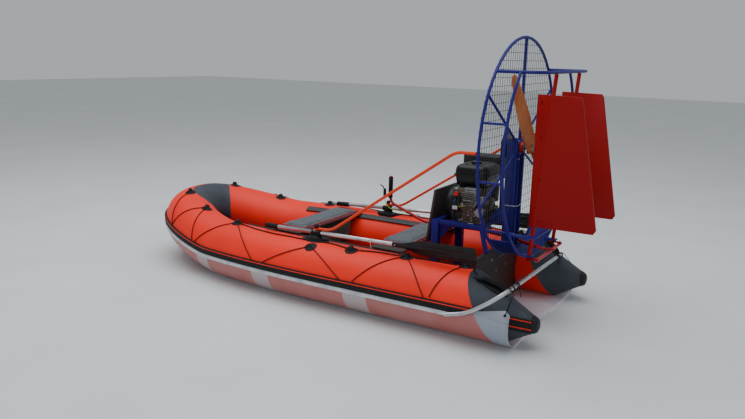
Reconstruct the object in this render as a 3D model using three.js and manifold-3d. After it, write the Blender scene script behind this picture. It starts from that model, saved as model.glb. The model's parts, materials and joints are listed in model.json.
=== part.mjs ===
// An air-propelled inflatable boat: two long tubes with cone sterns, an ice guard
// sheet under the hull, an engine on a frame at the transom, a caged two-blade
// propeller, twin air rudders on a tiller, two oars, two seats.
// Millimetres. +X is the bow, +Y is port, +Z is up. The origin is on the bottom
// plane, at the middle of the hull's length.
import * as THREE from 'three';
import { mergeVertices } from 'three/addons/utils/BufferGeometryUtils.js';
import Module from 'manifold-3d';

const wasm = await Module();
wasm.setup();

// Driving dimensions

const GAP = 0.3;                 // clearance where two pieces touch
const HULL_HALF_LENGTH = 1700;
const TUBE_R = 209;              // radius of the inflated side tubes
const TUBE_Y = 536;              // tube axis, from the centre plane
const TUBE_Z = 214;              // tube axis, above the bottom plane
const TUBE_SIDES = 24;
const CURVE_X = -296;            // the plan curve of the bow begins here
const BOW_X = HULL_HALF_LENGTH - TUBE_R;
const BOW_POWER = 2.52;          // superellipse power of the bow in plan
const RISE_X = 800;              // forward of here the bow rises
const RISE = 135;
const RISE_POWER = 1.35;
const BOW_SEAM_X = 760;          // seam between the side tube and the bow tube
const CHAMBER_SEAM_X = 130;      // bulkhead seam between a side tube's two chambers
const CONE_SEAM_TOP_X = -1260;   // stern seam, at the top of the tube
const CONE_SEAM_SLOPE = 0.556;   // the seam runs aft as it goes down
const CONE_TIP_X = -1700;
const CONE_TIP_Z = 154;
const CONE_TIP_R = 45;

const SHEET_T = 4.7;             // ice guard sheet
const SHEET_STERN_X = -1560;
const RAIL_LOW = -8;             // rub rail, from the tube's axis level
const RAIL_HIGH = 42;
const SHEET_TOP = RAIL_LOW - 2 * GAP;
const STRIP_END_X = -1220;       // aluminium strip that clamps the sheet

const FLOOR_LOW = 20;            // bottom with its keel, under the deck
const DECK_Z = 60;
const DECK_T = 12;
const DECK_BOW_X = 790;
const TRANSOM_X = -1205;         // forward face of the transom
const TRANSOM_T = 30;
const TRANSOM_TOP = 450;

const SEAT_BOARD_Z = 412.5;
const SEAT_BOARD_T = 10;
const CUSHION_T = 22;
const SEATS = [                  // name, aft end x, forward end x, cushion's half width
  ['front', 133, 369, 377],
  ['rear', -712, -462, 325],
];

const RING_R = 697;              // cage rings
const RING_Z = 1132;
const RING_TUBE_R = 10;
const FRONT_RING_X = -1317;
const REAR_RING_X = -1467;
const TOP_ARM_Y = 495;
const TOP_ARM_AFT_X = -1600;
const LOW_ARM = { aft: -1606, y: 520, z: 662 };

const PROP_X = -1400;
const PROP_R = 640;
const PROP_TILT = 43;            // degrees from upright, top towards port
const SHAFT_R = 12.5;
const UPPER_PULLEY_R = 90;
const LOWER_PULLEY_R = 45;
const BELT_X = -1236;            // plane of the drive belt
const BELT_W = 24;
const CRANK_Z = 700;

const RUDDER_Y = 250;
const STOCK_R = 12.5;
const STOCK_TOP = { x: -1600, z: 1612.4 };
const STOCK_FOOT = { x: -1512.5, z: 456 };
const RUDDER_T = 20;
const CRANK_ARM = 50;            // rudder crank, from the stock to its pin
const CRANK_Z0 = 468;
const CRANK_T = 8;
const PIN_R = 4;

const TILLER_PIVOT = { x: -1220, y: -160, z: 481 };
const TILLER_R = 11;

const OARLOCK = { x: -66, y: 500 };
const OAR_Z = 470;
const OAR_R = 14;
const BRACE_Z = 501;
const BRACE_R = 10;

const ENGINE_FRONT_X = -860;
const PLATFORM_Z = 575;
const FRAME_Y = 200;
const FRAME_TUBE = 30;

// Colours

const ORANGE = 0xd9442a;
const GREY_PVC = 0x4a5158;
const DARK = 0x232325;
const BLUE = 0x25329c;
const RED = 0x9a1518;

// Geometry helpers

const V = (x, y, z) => new THREE.Vector3(x, y, z);

function solid(geometry) {
  const bare = geometry.clone();
  for (const name of Object.keys(bare.attributes)) {
    if (name !== 'position') {
      bare.deleteAttribute(name);
    }
  }
  const merged = mergeVertices(bare, 1e-4);
  const index = merged.index ?? { array: [...merged.attributes.position.array.keys()] };
  return new wasm.Manifold(new wasm.Mesh({
    numProp: 3,
    vertProperties: new Float32Array(merged.attributes.position.array),
    triVerts: new Uint32Array(index.array),
  }));
}

function geometryOf(manifold) {
  const mesh = manifold.getMesh();
  const geometry = new THREE.BufferGeometry();
  geometry.setAttribute('position', new THREE.BufferAttribute(new Float32Array(mesh.vertProperties), 3));
  geometry.setIndex(new THREE.BufferAttribute(new Uint32Array(mesh.triVerts), 1));
  geometry.computeVertexNormals();
  return geometry;
}

const union = (...list) => list.flat().reduce((whole, next) => whole.add(next));

function box(x0, x1, y0, y1, z0, z1) {
  const geometry = new THREE.BoxGeometry(x1 - x0, y1 - y0, z1 - z0);
  geometry.translate((x0 + x1) / 2, (y0 + y1) / 2, (z0 + z1) / 2);
  return solid(geometry);
}

// A round bar from one point to another.
function bar(from, to, radius, sides = 12) {
  const length = from.distanceTo(to);
  const geometry = new THREE.CylinderGeometry(radius, radius, length, sides);
  const turn = new THREE.Quaternion().setFromUnitVectors(V(0, 1, 0), to.clone().sub(from).normalize());
  geometry.applyQuaternion(turn);
  const middle = from.clone().add(to).multiplyScalar(0.5);
  geometry.translate(middle.x, middle.y, middle.z);
  return solid(geometry);
}

// A square bar from one point to another, its sides kept upright.
function squareBar(from, to, width, height) {
  const length = from.distanceTo(to);
  const geometry = new THREE.BoxGeometry(length, width, height);
  const forward = to.clone().sub(from).normalize();
  const side = V(0, 0, 1).cross(forward);
  if (side.length() < 1e-6) {
    side.set(0, 1, 0);
  }
  side.normalize();
  const up = forward.clone().cross(side);
  geometry.applyMatrix4(new THREE.Matrix4().makeBasis(forward, side, up));
  const middle = from.clone().add(to).multiplyScalar(0.5);
  geometry.translate(middle.x, middle.y, middle.z);
  return solid(geometry);
}

// A curve that runs straight from point to point and rounds each corner.
class Route extends THREE.Curve {
  constructor(corners, bend = 0, cornerSteps = 4) {
    super();
    this.points = [corners[0]];
    for (let i = 1; i < corners.length - 1; i += 1) {
      const [before, corner, after] = [corners[i - 1], corners[i], corners[i + 1]];
      const limitOf = (neighbour, atEnd) => neighbour.distanceTo(corner) / (atEnd ? 1.02 : 2.1);
      const reach = Math.min(bend, limitOf(before, i === 1), limitOf(after, i === corners.length - 2));
      if (reach < 1) {
        this.points.push(corner);
        continue;
      }
      const start = corner.clone().add(before.clone().sub(corner).setLength(reach));
      const end = corner.clone().add(after.clone().sub(corner).setLength(reach));
      const arc = new THREE.QuadraticBezierCurve3(start, corner, end);
      this.points.push(...arc.getPoints(cornerSteps));
    }
    this.points.push(corners.at(-1));
    this.steps = this.points.length - 1;
  }

  getPoint(t) {
    const place = t * this.steps;
    const i = Math.min(Math.floor(place), this.steps - 1);
    return this.points[i].clone().lerp(this.points[i + 1], place - i);
  }

  getPointAt(t) {
    return this.getPoint(t);
  }

  getTangent(t) {
    const i = Math.round(t * this.steps);
    const tangent = V(0, 0, 0);
    if (i > 0) {
      tangent.add(this.points[i].clone().sub(this.points[i - 1]).normalize());
    }
    if (i < this.steps) {
      tangent.add(this.points[i + 1].clone().sub(this.points[i]).normalize());
    }
    return tangent.normalize();
  }

  getTangentAt(t) {
    return this.getTangent(t);
  }
}

const circlePoints = (radius, sides) => Array.from({ length: sides }, (_, i) => {
  const angle = 2 * Math.PI * i / sides;
  return new THREE.Vector2(radius * Math.cos(angle), radius * Math.sin(angle));
});

// A round tube along corners with rounded bends.
function pipe(corners, radius, bend = 0, sides = 10, cornerSteps = 4) {
  const route = new Route(corners, bend, cornerSteps);
  return solid(new THREE.ExtrudeGeometry(new THREE.Shape(circlePoints(radius, sides)), {
    steps: route.steps, extrudePath: route,
  }));
}

// A closed skin through rings with equal counts of points; flatEnd is the same
// outline in two dimensions, which the end faces are cut from.
function loft(rings, flatEnd) {
  const clockwise = THREE.ShapeUtils.isClockWise(flatEnd);
  const outline = clockwise ? flatEnd.toReversed() : flatEnd;
  const turned = clockwise ? rings.map((ring) => ring.toReversed()) : rings;
  const count = outline.length;
  const index = [];
  for (let r = 0; r < turned.length - 1; r += 1) {
    for (let i = 0; i < count; i += 1) {
      const [a, b] = [r * count + i, r * count + (i + 1) % count];
      index.push(a, b, b + count, a, b + count, a + count);
    }
  }
  const last = (turned.length - 1) * count;
  for (const [a, b, c] of THREE.ShapeUtils.triangulateShape(outline, [])) {
    index.push(a, c, b, last + a, last + b, last + c);
  }
  const geometry = new THREE.BufferGeometry();
  const positions = turned.flat().flatMap((point) => [point.x, point.y, point.z]);
  geometry.setAttribute('position', new THREE.BufferAttribute(new Float32Array(positions), 3));
  geometry.setIndex(index);
  const made = solid(geometry);
  if (made.volume() > 0) {
    return made;
  }
  geometry.setIndex(index.flatMap((_, i) => (i % 3 ? [] : [index[i], index[i + 2], index[i + 1]])));
  return solid(geometry);
}

// A flat outline in X and Z, thick along Y.
function sideSlab(outline, y0, y1) {
  const geometry = new THREE.ExtrudeGeometry(new THREE.Shape(outline.map(([x, z]) => new THREE.Vector2(x, z))),
    { depth: y1 - y0, bevelEnabled: false, curveSegments: 6 });
  geometry.rotateX(Math.PI / 2);
  geometry.translate(0, y1, 0);
  return solid(geometry);
}

// A flat outline in X and Y, thick along Z.
function planSlab(outline, z0, z1) {
  const geometry = new THREE.ExtrudeGeometry(new THREE.Shape(outline.map(([x, y]) => new THREE.Vector2(x, y))),
    { depth: z1 - z0, bevelEnabled: false });
  geometry.translate(0, 0, z0);
  return solid(geometry);
}

// A flat outline in Y and Z, thick along X.
function crossSlab(outline, x0, x1) {
  const geometry = new THREE.ExtrudeGeometry(new THREE.Shape(outline.map(([y, z]) => new THREE.Vector2(y, z))),
    { depth: x1 - x0, bevelEnabled: false });
  geometry.applyMatrix4(new THREE.Matrix4().makeBasis(V(0, 1, 0), V(0, 0, 1), V(1, 0, 0)));
  geometry.translate(x0, 0, 0);
  return solid(geometry);
}

// A box with rounded edges along one axis, for soft things and castings.
function roundedBox(x0, x1, y0, y1, z0, z1, radius, bevel = 0) {
  const [w, h] = [x1 - x0 - 2 * bevel, y1 - y0 - 2 * bevel];
  const shape = new THREE.Shape();
  const r = Math.min(radius, w / 2 - 1, h / 2 - 1);
  shape.absarc(w / 2 - r, h / 2 - r, r, 0, Math.PI / 2);
  shape.absarc(-w / 2 + r, h / 2 - r, r, Math.PI / 2, Math.PI);
  shape.absarc(-w / 2 + r, -h / 2 + r, r, Math.PI, 1.5 * Math.PI);
  shape.absarc(w / 2 - r, -h / 2 + r, r, 1.5 * Math.PI, 2 * Math.PI);
  const geometry = new THREE.ExtrudeGeometry(shape, {
    depth: z1 - z0 - 2 * bevel, curveSegments: 3, bevelEnabled: bevel > 0,
    bevelThickness: bevel, bevelSize: bevel, bevelSegments: 2,
  });
  geometry.translate((x0 + x1) / 2, (y0 + y1) / 2, z0 + bevel);
  return solid(geometry);
}

const boat = new THREE.Group();

function add(name, made, color, roughness = 0.6, metalness = 0) {
  const mesh = new THREE.Mesh(geometryOf(made), new THREE.MeshStandardMaterial({ color, roughness, metalness }));
  mesh.name = name;
  boat.add(mesh);
}

// The same shape on the other side of the centre plane.
const mirrored = (made) => made.mirror([0, 1, 0]);
const SIDES = [['port', (made) => made], ['starboard', mirrored]];

// Hull line: the tube's axis in plan, its rise, and sections set along it

const rise = (x) => RISE * (Math.max(0, Math.min(x, BOW_X) - RISE_X) / (BOW_X - RISE_X)) ** RISE_POWER;

function axisPoint(angle) {
  const x = CURVE_X + (BOW_X - CURVE_X) * Math.sin(angle) ** (2 / BOW_POWER);
  const y = TUBE_Y * Math.max(0, Math.cos(angle)) ** (2 / BOW_POWER);
  return V(x, y, TUBE_Z + rise(x));
}

// Stations from the port stern round the bow to the starboard stern, each with
// its outward direction in plan.
function hullStations(sternX, steps = 15) {
  const port = [V(sternX, TUBE_Y, TUBE_Z)];
  for (let i = 0; i <= steps; i += 1) {
    port.push(axisPoint(Math.PI / 2 * i / steps));
  }
  const starboard = port.slice(0, -1).reverse().map((point) => V(point.x, -point.y, point.z));
  const line = [...port, ...starboard];
  return line.map((point, i) => {
    const next = line[Math.min(i + 1, line.length - 1)];
    const along = next.clone().sub(line[Math.max(i - 1, 0)]).setZ(0).normalize();
    return { point, outward: V(-along.y, along.x, 0) };
  });
}

// A section given as [outward, up] pairs from the tube's axis, set along stations.
function alongHull(section, stations) {
  const rings = stations.map(({ point, outward }) => section.map(([out, up]) => (
    point.clone().addScaledVector(outward, out).add(V(0, 0, up))
  )));
  return loft(rings, section.map(([out, up]) => new THREE.Vector2(out, up)));
}

const circle = (radius) => circlePoints(radius, TUBE_SIDES).map((point) => [point.x, point.y]);

// Points of an arc from one angle to another, in degrees.
function arc(radius, from, to, steps) {
  return Array.from({ length: steps + 1 }, (_, i) => {
    const angle = THREE.MathUtils.degToRad(from + (to - from) * i / steps);
    return [radius * Math.cos(angle), radius * Math.sin(angle)];
  });
}

// The port half of a shape and its mirror image.
function bothSides(made) {
  const half = made.intersect(box(-3000, 3000, 0, 2000, -500, 3000));
  return half.add(mirrored(half));
}

const hullLine = hullStations(CONE_TIP_X - 100);
const hullTube = bothSides(alongHull(circle(TUBE_R), hullLine));
const hullTubeGrown = bothSides(alongHull(circle(TUBE_R + GAP), hullLine));

// The stern seam is a slanted plane; a piece forward of it is cut by this slab.
function sternCut(shift) {
  const x = (z) => CONE_SEAM_TOP_X - CONE_SEAM_SLOPE * (TUBE_Z + TUBE_R - z) + shift;
  return sideSlab([[x(-50), -50], [2000, -50], [2000, 800], [x(800), 800]], -1000, 1000);
}

// Side tubes, bow tubes and stern cones

const forwardOfSeam = hullTube.intersect(sternCut(GAP / 2));
const aboveWater = [-100, 900];
for (const [side, mirror] of SIDES) {
  const half = forwardOfSeam.intersect(box(-2000, 2000, 0, 1000, ...aboveWater));
  const tube = half.intersect(box(-2000, CHAMBER_SEAM_X - GAP / 2, 0, 1000, ...aboveWater));
  const fore = half.intersect(
    box(CHAMBER_SEAM_X + GAP / 2, BOW_SEAM_X - GAP / 2, 0, 1000, ...aboveWater),
  );
  const bow = half.intersect(box(BOW_SEAM_X + GAP / 2, 2000, GAP / 2, 1000, ...aboveWater));
  add(`tube_${side}`, mirror(tube), ORANGE);
  add(`tube_fore_${side}`, mirror(fore), ORANGE);
  add(`bow_${side}`, mirror(bow), ORANGE);
}

// The cone, grown by a clearance when it cuts a neighbour.
function cone(grow = 0) {
  const seamX = (z) => CONE_SEAM_TOP_X - CONE_SEAM_SLOPE * (TUBE_Z + TUBE_R - z) - GAP / 2;
  const ring = (radius, centreZ, x) => circle(radius + grow).map(([out, up]) => (
    V(x(centreZ + up), TUBE_Y + out, centreZ + up)
  ));
  const rings = [
    ring(TUBE_R, TUBE_Z, seamX),
    ring(CONE_TIP_R, CONE_TIP_Z, () => CONE_TIP_X + 18),
    ring(CONE_TIP_R * 0.6, CONE_TIP_Z, () => CONE_TIP_X),
  ];
  return loft(rings, circlePoints(TUBE_R, TUBE_SIDES));
}
for (const [side, mirror] of SIDES) {
  add(`cone_${side}`, mirror(cone()), GREY_PVC);
}

// Rub rail round the hull and down the cones to their tips

const RAIL_T = 12;
function railSection(grow = 0) {
  const levels = [RAIL_LOW - grow, (RAIL_LOW + RAIL_HIGH) / 2, RAIL_HIGH + grow];
  const inner = levels.map((up) => [Math.sqrt((TUBE_R + GAP - grow) ** 2 - up ** 2), up]);
  const outer = levels.toReversed().map((up, i) => [TUBE_R + RAIL_T + grow - (i === 1 ? 0 : 4), up]);
  return [...inner, ...outer];
}

function railStations() {
  const seamX = CONE_SEAM_TOP_X - CONE_SEAM_SLOPE * TUBE_R;
  const seamPoint = V(seamX, TUBE_Y + TUBE_R, TUBE_Z);
  const tipPoint = V(CONE_TIP_X + 4, TUBE_Y + CONE_TIP_R, CONE_TIP_Z);
  const along = seamPoint.clone().sub(tipPoint).setZ(0).normalize();
  const coneOut = V(-along.y, along.x, 0);
  const halfOut = coneOut.clone().add(V(0, 1, 0)).normalize();
  const side = [
    { surface: tipPoint, outward: coneOut },
    { surface: seamPoint, outward: halfOut },
    ...hullStations(seamX + 60).map(({ point, outward }) => (
      { surface: point.clone().addScaledVector(outward, TUBE_R), outward }
    )),
  ];
  const ends = [side[1], side[0]].map(({ surface, outward }) => (
    { surface: V(surface.x, -surface.y, surface.z), outward: V(outward.x, -outward.y, 0) }
  ));
  return [...side, ...ends].map(({ surface, outward }) => (
    { point: surface.clone().addScaledVector(outward, -TUBE_R), outward }
  ));
}

const railGrown = alongHull(railSection(GAP), railStations());
const railWhole = alongHull(railSection(), railStations())
  .subtract(hullTubeGrown.intersect(sternCut(0)))
  .subtract(cone(GAP))
  .subtract(mirrored(cone(GAP)));
for (const [side, mirror] of SIDES) {
  add(`rub_rail_${side}`, mirror(railWhole.intersect(box(-2000, 2000, GAP / 2, 1000, ...aboveWater))), DARK);
}

// Ice guard sheet: wraps the tubes' outer lower quarter and runs flat between them

const QUARTER_STEPS = TUBE_SIDES / 4;
const sheetInner = arc(TUBE_R + GAP, -90, 0, QUARTER_STEPS);
const sheetOuter = arc(TUBE_R + GAP + SHEET_T, 0, -90, QUARTER_STEPS);

// The plan of the hull axis, as an outline that closes across the stern.
function planOutline(sternX) {
  return hullStations(sternX).map(({ point }) => [point.x, point.y]);
}

// A slab that follows the rise of the bow, between two heights.
function risingSlab(low, high, sternX, bowX = 2000) {
  const steps = 10;
  const xs = [sternX];
  for (let i = 0; i <= steps; i += 1) {
    xs.push(RISE_X + (BOW_X - RISE_X) * i / steps);
  }
  xs.push(bowX);
  const bottom = xs.map((x) => [x, low + rise(x)]);
  const top = xs.map((x) => [x, high + rise(x)]).reverse();
  return sideSlab([...bottom, ...top], -1000, 1000);
}

const sheetLine = hullStations(SHEET_STERN_X);
const sheetSkirt = alongHull([...sheetInner, ...sheetOuter], sheetLine)
  .intersect(risingSlab(-50, TUBE_Z + SHEET_TOP, -2000));
const sheetFloor = planSlab(planOutline(SHEET_STERN_X), -50, 700)
  .intersect(risingSlab(0, SHEET_T, -2000));
const sheet = sheetSkirt.add(sheetFloor)
  .subtract(hullTubeGrown.intersect(sternCut(0)))
  .subtract(bothSides(railGrown));
add('ice_guard_sheet', sheet, 0xd0c4c6, 0.4);

// Aluminium strip along the sheet's upper edge

const stripSection = [SHEET_TOP, SHEET_TOP - 28].map((up) => (
  [Math.sqrt((TUBE_R + 2 * GAP + SHEET_T) ** 2 - up ** 2), up]
)).concat([[TUBE_R + SHEET_T + 5, SHEET_TOP - 28], [TUBE_R + SHEET_T + 5, SHEET_TOP - 1]]);
const strip = alongHull(stripSection, hullStations(STRIP_END_X));
for (const [side, mirror] of SIDES) {
  add(`guard_strip_${side}`, mirror(strip.intersect(box(-2000, 2000, GAP / 2, 1000, ...aboveWater))),
    0xb9bcc0, 0.35, 0.8);
}

// Bottom with its keel, deck and transom

const bottom = planSlab(planOutline(TRANSOM_X + 5), -50, 700)
  .intersect(risingSlab(FLOOR_LOW, DECK_Z - GAP, -2000, BOW_X))
  .subtract(hullTubeGrown);
add('hull_bottom', bottom, GREY_PVC);

// Half the width between the tubes at a height, at a station along the hull.
function innerHalfWidth(x, z) {
  const share = Math.max(0, (x - CURVE_X) / (BOW_X - CURVE_X));
  const axisY = TUBE_Y * (1 - share ** BOW_POWER) ** (1 / BOW_POWER);
  return axisY - Math.sqrt(TUBE_R ** 2 - (z - TUBE_Z) ** 2);
}
const deckEdge = [TRANSOM_X + 5, 0, 300, 600, DECK_BOW_X]
  .map((x) => [x, innerHalfWidth(x, DECK_Z + DECK_T) - 8]);
const deckOutline = [...deckEdge, ...deckEdge.toReversed().map(([x, y]) => [x, -y])];
add('floor_deck', planSlab(deckOutline, DECK_Z, DECK_Z + DECK_T).subtract(hullTubeGrown), 0x6b6f72);

const TRANSOM_HALF = 430;
const transomBoard = box(TRANSOM_X - TRANSOM_T, TRANSOM_X, -TRANSOM_HALF, TRANSOM_HALF, 85, TRANSOM_TOP);
add('transom', transomBoard.subtract(hullTubeGrown), 0x3b2a22, 0.6);

// Seats: rails on the tubes' inner shoulders, boards, cushions, bag

const SEAT_RAIL_X = { aft: -740, bow: 650 };
const seatRailSection = [...arc(TUBE_R + 2 * GAP, 117, 129, 1), ...arc(TUBE_R + 13.5, 129, 117, 1)];
const seatRail = alongHull(seatRailSection, hullStations(CONE_TIP_X))
  .intersect(box(SEAT_RAIL_X.aft, SEAT_RAIL_X.bow, -1000, 1000, 0, SEAT_BOARD_Z - GAP))
  .subtract(hullTubeGrown);
for (const [side, mirror] of SIDES) {
  add(`seat_rail_${side}`, mirror(seatRail.intersect(box(-2000, 2000, 0, 1000, 0, 900))), GREY_PVC);
}
for (const [name, aft, bow, half] of SEATS) {
  const top = SEAT_BOARD_Z + SEAT_BOARD_T;
  add(`seat_board_${name}`, roundedBox(aft, bow, -440, 440, SEAT_BOARD_Z, top, 20), 0x5b4634);
  const cushion = roundedBox(aft, bow, -half, half, top + GAP, top + CUSHION_T, 30, 6);
  add(`seat_cushion_${name}`, cushion, 0x6a7178, 0.9);
}
const [, bagAft, bagBow] = SEATS[0];
const bag = roundedBox(bagAft + 8, bagBow - 8, -300, 300, 210, SEAT_BOARD_Z - GAP, 40, 20);
add('seat_bag', bag, 0x4d5258, 0.9);

// Cage rings

function ring(x, tubeR, from = 0, sweep = 360) {
  if (sweep === 360) {
    const geometry = new THREE.TorusGeometry(RING_R, tubeR, 8, 48);
    geometry.rotateY(Math.PI / 2);
    geometry.translate(x, 0, RING_Z);
    return solid(geometry);
  }
  const steps = Math.round(sweep / 6.5);
  const corners = Array.from({ length: steps + 1 }, (_, i) => {
    const angle = THREE.MathUtils.degToRad(from + sweep * i / steps);
    return V(x, RING_R * Math.sin(angle), RING_Z - RING_R * Math.cos(angle));
  });
  return pipe(corners, tubeR, 0, 8);
}

const WIRE = 4;                  // guard mesh, flat on the front of the front ring
const MESH_X = FRONT_RING_X + RING_TUBE_R + GAP;
const HUB_COLLAR_R = 44;
function frontRing(grow = 0) {
  const tube = RING_TUBE_R + grow;
  const spokes = [59, 116, 244, 301].map((degrees) => {
    const angle = THREE.MathUtils.degToRad(degrees);
    const out = V(0, Math.sin(angle), Math.cos(angle));
    const centre = V(FRONT_RING_X, 0, RING_Z);
    return bar(centre.clone().addScaledVector(out, HUB_COLLAR_R), centre.clone().addScaledVector(out, RING_R),
      8 + grow, 8);
  });
  const upright = bar(V(FRONT_RING_X, 0, RING_Z - RING_R), V(FRONT_RING_X, 0, RING_Z + RING_R), tube, 8);
  const collar = bar(V(FRONT_RING_X - 10 - grow, 0, RING_Z), V(FRONT_RING_X + 10 + grow, 0, RING_Z),
    HUB_COLLAR_R + 8, 24);
  return union(ring(FRONT_RING_X, tube), upright, collar, spokes);
}

// Bearing housing, carried by the mast and the ring's collar

const HOUSING_R = 35;
const HOUSING_X = { front: -1262, back: -1350 };
const housingHole = (radius) => bar(V(HOUSING_X.front + 20, 0, RING_Z), V(HOUSING_X.back - 20, 0, RING_Z), radius, 24);
add('cage_front_ring', frontRing().subtract(housingHole(HOUSING_R + GAP)), BLUE, 0.4);

const housing = bar(V(HOUSING_X.back, 0, RING_Z), V(HOUSING_X.front, 0, RING_Z), HOUSING_R, 24);
add('bearing_housing', housing.subtract(housingHole(SHAFT_R + 1)), RED, 0.4);

const topArmZ = RING_Z + Math.sqrt(RING_R ** 2 - TOP_ARM_Y ** 2);
function topArms(grow = 0) {
  const start = FRONT_RING_X;
  return pipe([
    V(start, TOP_ARM_Y, topArmZ), V(TOP_ARM_AFT_X, TOP_ARM_Y, topArmZ),
    V(TOP_ARM_AFT_X, -TOP_ARM_Y, topArmZ), V(start, -TOP_ARM_Y, topArmZ),
  ], RING_TUBE_R + grow, 110, 10);
}
const frontRingGrown = frontRing(GAP);
add('cage_top_arms', topArms().subtract(frontRingGrown), BLUE, 0.4);

// Rudder stocks lean, top aft; both share one direction

const stockAxis = V(STOCK_TOP.x - STOCK_FOOT.x, 0, STOCK_TOP.z - STOCK_FOOT.z).normalize();
const stockX = (z) => STOCK_FOOT.x + (z - STOCK_FOOT.z) * stockAxis.x / stockAxis.z;
function stock(side, grow = 0, top = STOCK_TOP.z) {
  const y = side * RUDDER_Y;
  return bar(V(STOCK_FOOT.x, y, STOCK_FOOT.z), V(stockX(top), y, top), STOCK_R + grow, 16);
}

// Rear ring: open above the top arms, with spacers to the front ring and the
// lugs that carry the rudder stocks

const armAngle = THREE.MathUtils.radToDeg(Math.atan2(TOP_ARM_Y, RING_Z - topArmZ) - 5 / RING_R);
const SPACER_ANGLES = [50, 79, 107, -50, -79, -107];
const LUG_Z = 496;
function rearRing() {
  const arcTube = ring(REAR_RING_X, RING_TUBE_R, -armAngle, 2 * armAngle);
  const spacers = SPACER_ANGLES.map((degrees) => {
    const angle = THREE.MathUtils.degToRad(degrees);
    const [y, z] = [RING_R * Math.sin(angle), RING_Z - RING_R * Math.cos(angle)];
    return bar(V(FRONT_RING_X, y, z), V(REAR_RING_X, y, z), 7, 8);
  });
  const lugs = [1, -1].map((side) => (
    box(stockX(LUG_Z) - 26, REAR_RING_X + 4, side * RUDDER_Y - 24, side * RUDDER_Y + 24, LUG_Z - 12, LUG_Z - 4)
      .subtract(stock(side, 0.8))
  ));
  return union(arcTube, spacers, lugs);
}

// Trough: rolled sheet between the rings, round the bottom, welded to the rear one

const TROUGH_HALF_ANGLE = 42;
const troughOutline = [
  ...arc(RING_R + 1.5, -90 - TROUGH_HALF_ANGLE, -90 + TROUGH_HALF_ANGLE, 14),
  ...arc(RING_R - 1.5, -90 + TROUGH_HALF_ANGLE, -90 - TROUGH_HALF_ANGLE, 14),
].map(([y, z]) => [y, z + RING_Z]);
const trough = crossSlab(troughOutline, REAR_RING_X, FRONT_RING_X - RING_TUBE_R - GAP);
add('cage_rear_ring', union(rearRing(), trough).subtract(frontRingGrown).subtract(topArms(GAP)), BLUE, 0.4);

// Low arms: a bent tube that carries on aft from the lowest spacers, under the rudders

const lowSpacer = THREE.MathUtils.degToRad(SPACER_ANGLES[0]);
const lowStart = V(REAR_RING_X, RING_R * Math.sin(lowSpacer), RING_Z - RING_R * Math.cos(lowSpacer));
const lowArms = pipe([
  lowStart, V(LOW_ARM.aft, LOW_ARM.y, LOW_ARM.z), V(LOW_ARM.aft, -LOW_ARM.y, LOW_ARM.z),
  lowStart.clone().multiply(V(1, -1, 1)),
], RING_TUBE_R, 110, 10);
const rearRingGrown = ring(REAR_RING_X, RING_TUBE_R + GAP, -armAngle, 2 * armAngle);
const aheadOfRing = box(REAR_RING_X, -1000, -900, 900, 600, 760);
add('cage_low_arms', lowArms.subtract(rearRingGrown).subtract(aheadOfRing), BLUE, 0.4);

// Mast: a channel open aft, behind the drive, standing on the transom

const MAST = { front: -1257, back: -1331, half: 70, wall: 4, low: 458.3, top: 1180 };
const GUSSET = [[-1258, 620.3], [-1157, 620.3], [-1157, 640], [-1222, 722], [-1258, 724]];
function mast() {
  const web = box(MAST.front - MAST.wall, MAST.front, -MAST.half, MAST.half, MAST.low, MAST.top);
  const flanges = [1, -1].map((side) => (
    box(MAST.back, MAST.front, side > 0 ? MAST.half - MAST.wall : -MAST.half,
      side > 0 ? MAST.half : -MAST.half + MAST.wall, MAST.low, MAST.top)
  ));
  const foot = box(-1300, TRANSOM_X - 4, -MAST.half, MAST.half, TRANSOM_TOP + GAP, MAST.low + 1);
  const saddles = [620, 960].map((z) => box(FRONT_RING_X + 2, MAST.front - 2, -14, 14, z, z + 30));
  const gussets = [1, -1].map((side) => (
    sideSlab(GUSSET, side > 0 ? MAST.half - MAST.wall : -MAST.half, side > 0 ? MAST.half : -MAST.half + MAST.wall)
  ));
  return union(web, flanges, foot, saddles, gussets);
}
add('mast', mast().subtract(frontRingGrown).subtract(housingHole(HOUSING_R + GAP)), BLUE, 0.45);

// Propeller: shaft with its pulley, hub, two wooden blades

const along = (x0, x1, radius, sides = 24) => bar(V(x0, 0, RING_Z), V(x1, 0, RING_Z), radius, sides);
const HUB_R = 42;
const HUB_X = { front: -1378, back: -1424 };
const shaft = union(
  along(HUB_X.front - GAP, BELT_X + BELT_W / 2 + 6, SHAFT_R, 16),
  along(BELT_X - BELT_W / 2, BELT_X + BELT_W / 2, UPPER_PULLEY_R, 32),
  along(HUB_X.front - 6 + GAP, HUB_X.front, HUB_R),
);
add('prop_shaft', shaft, 0x8a8d90, 0.35, 0.9);

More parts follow.
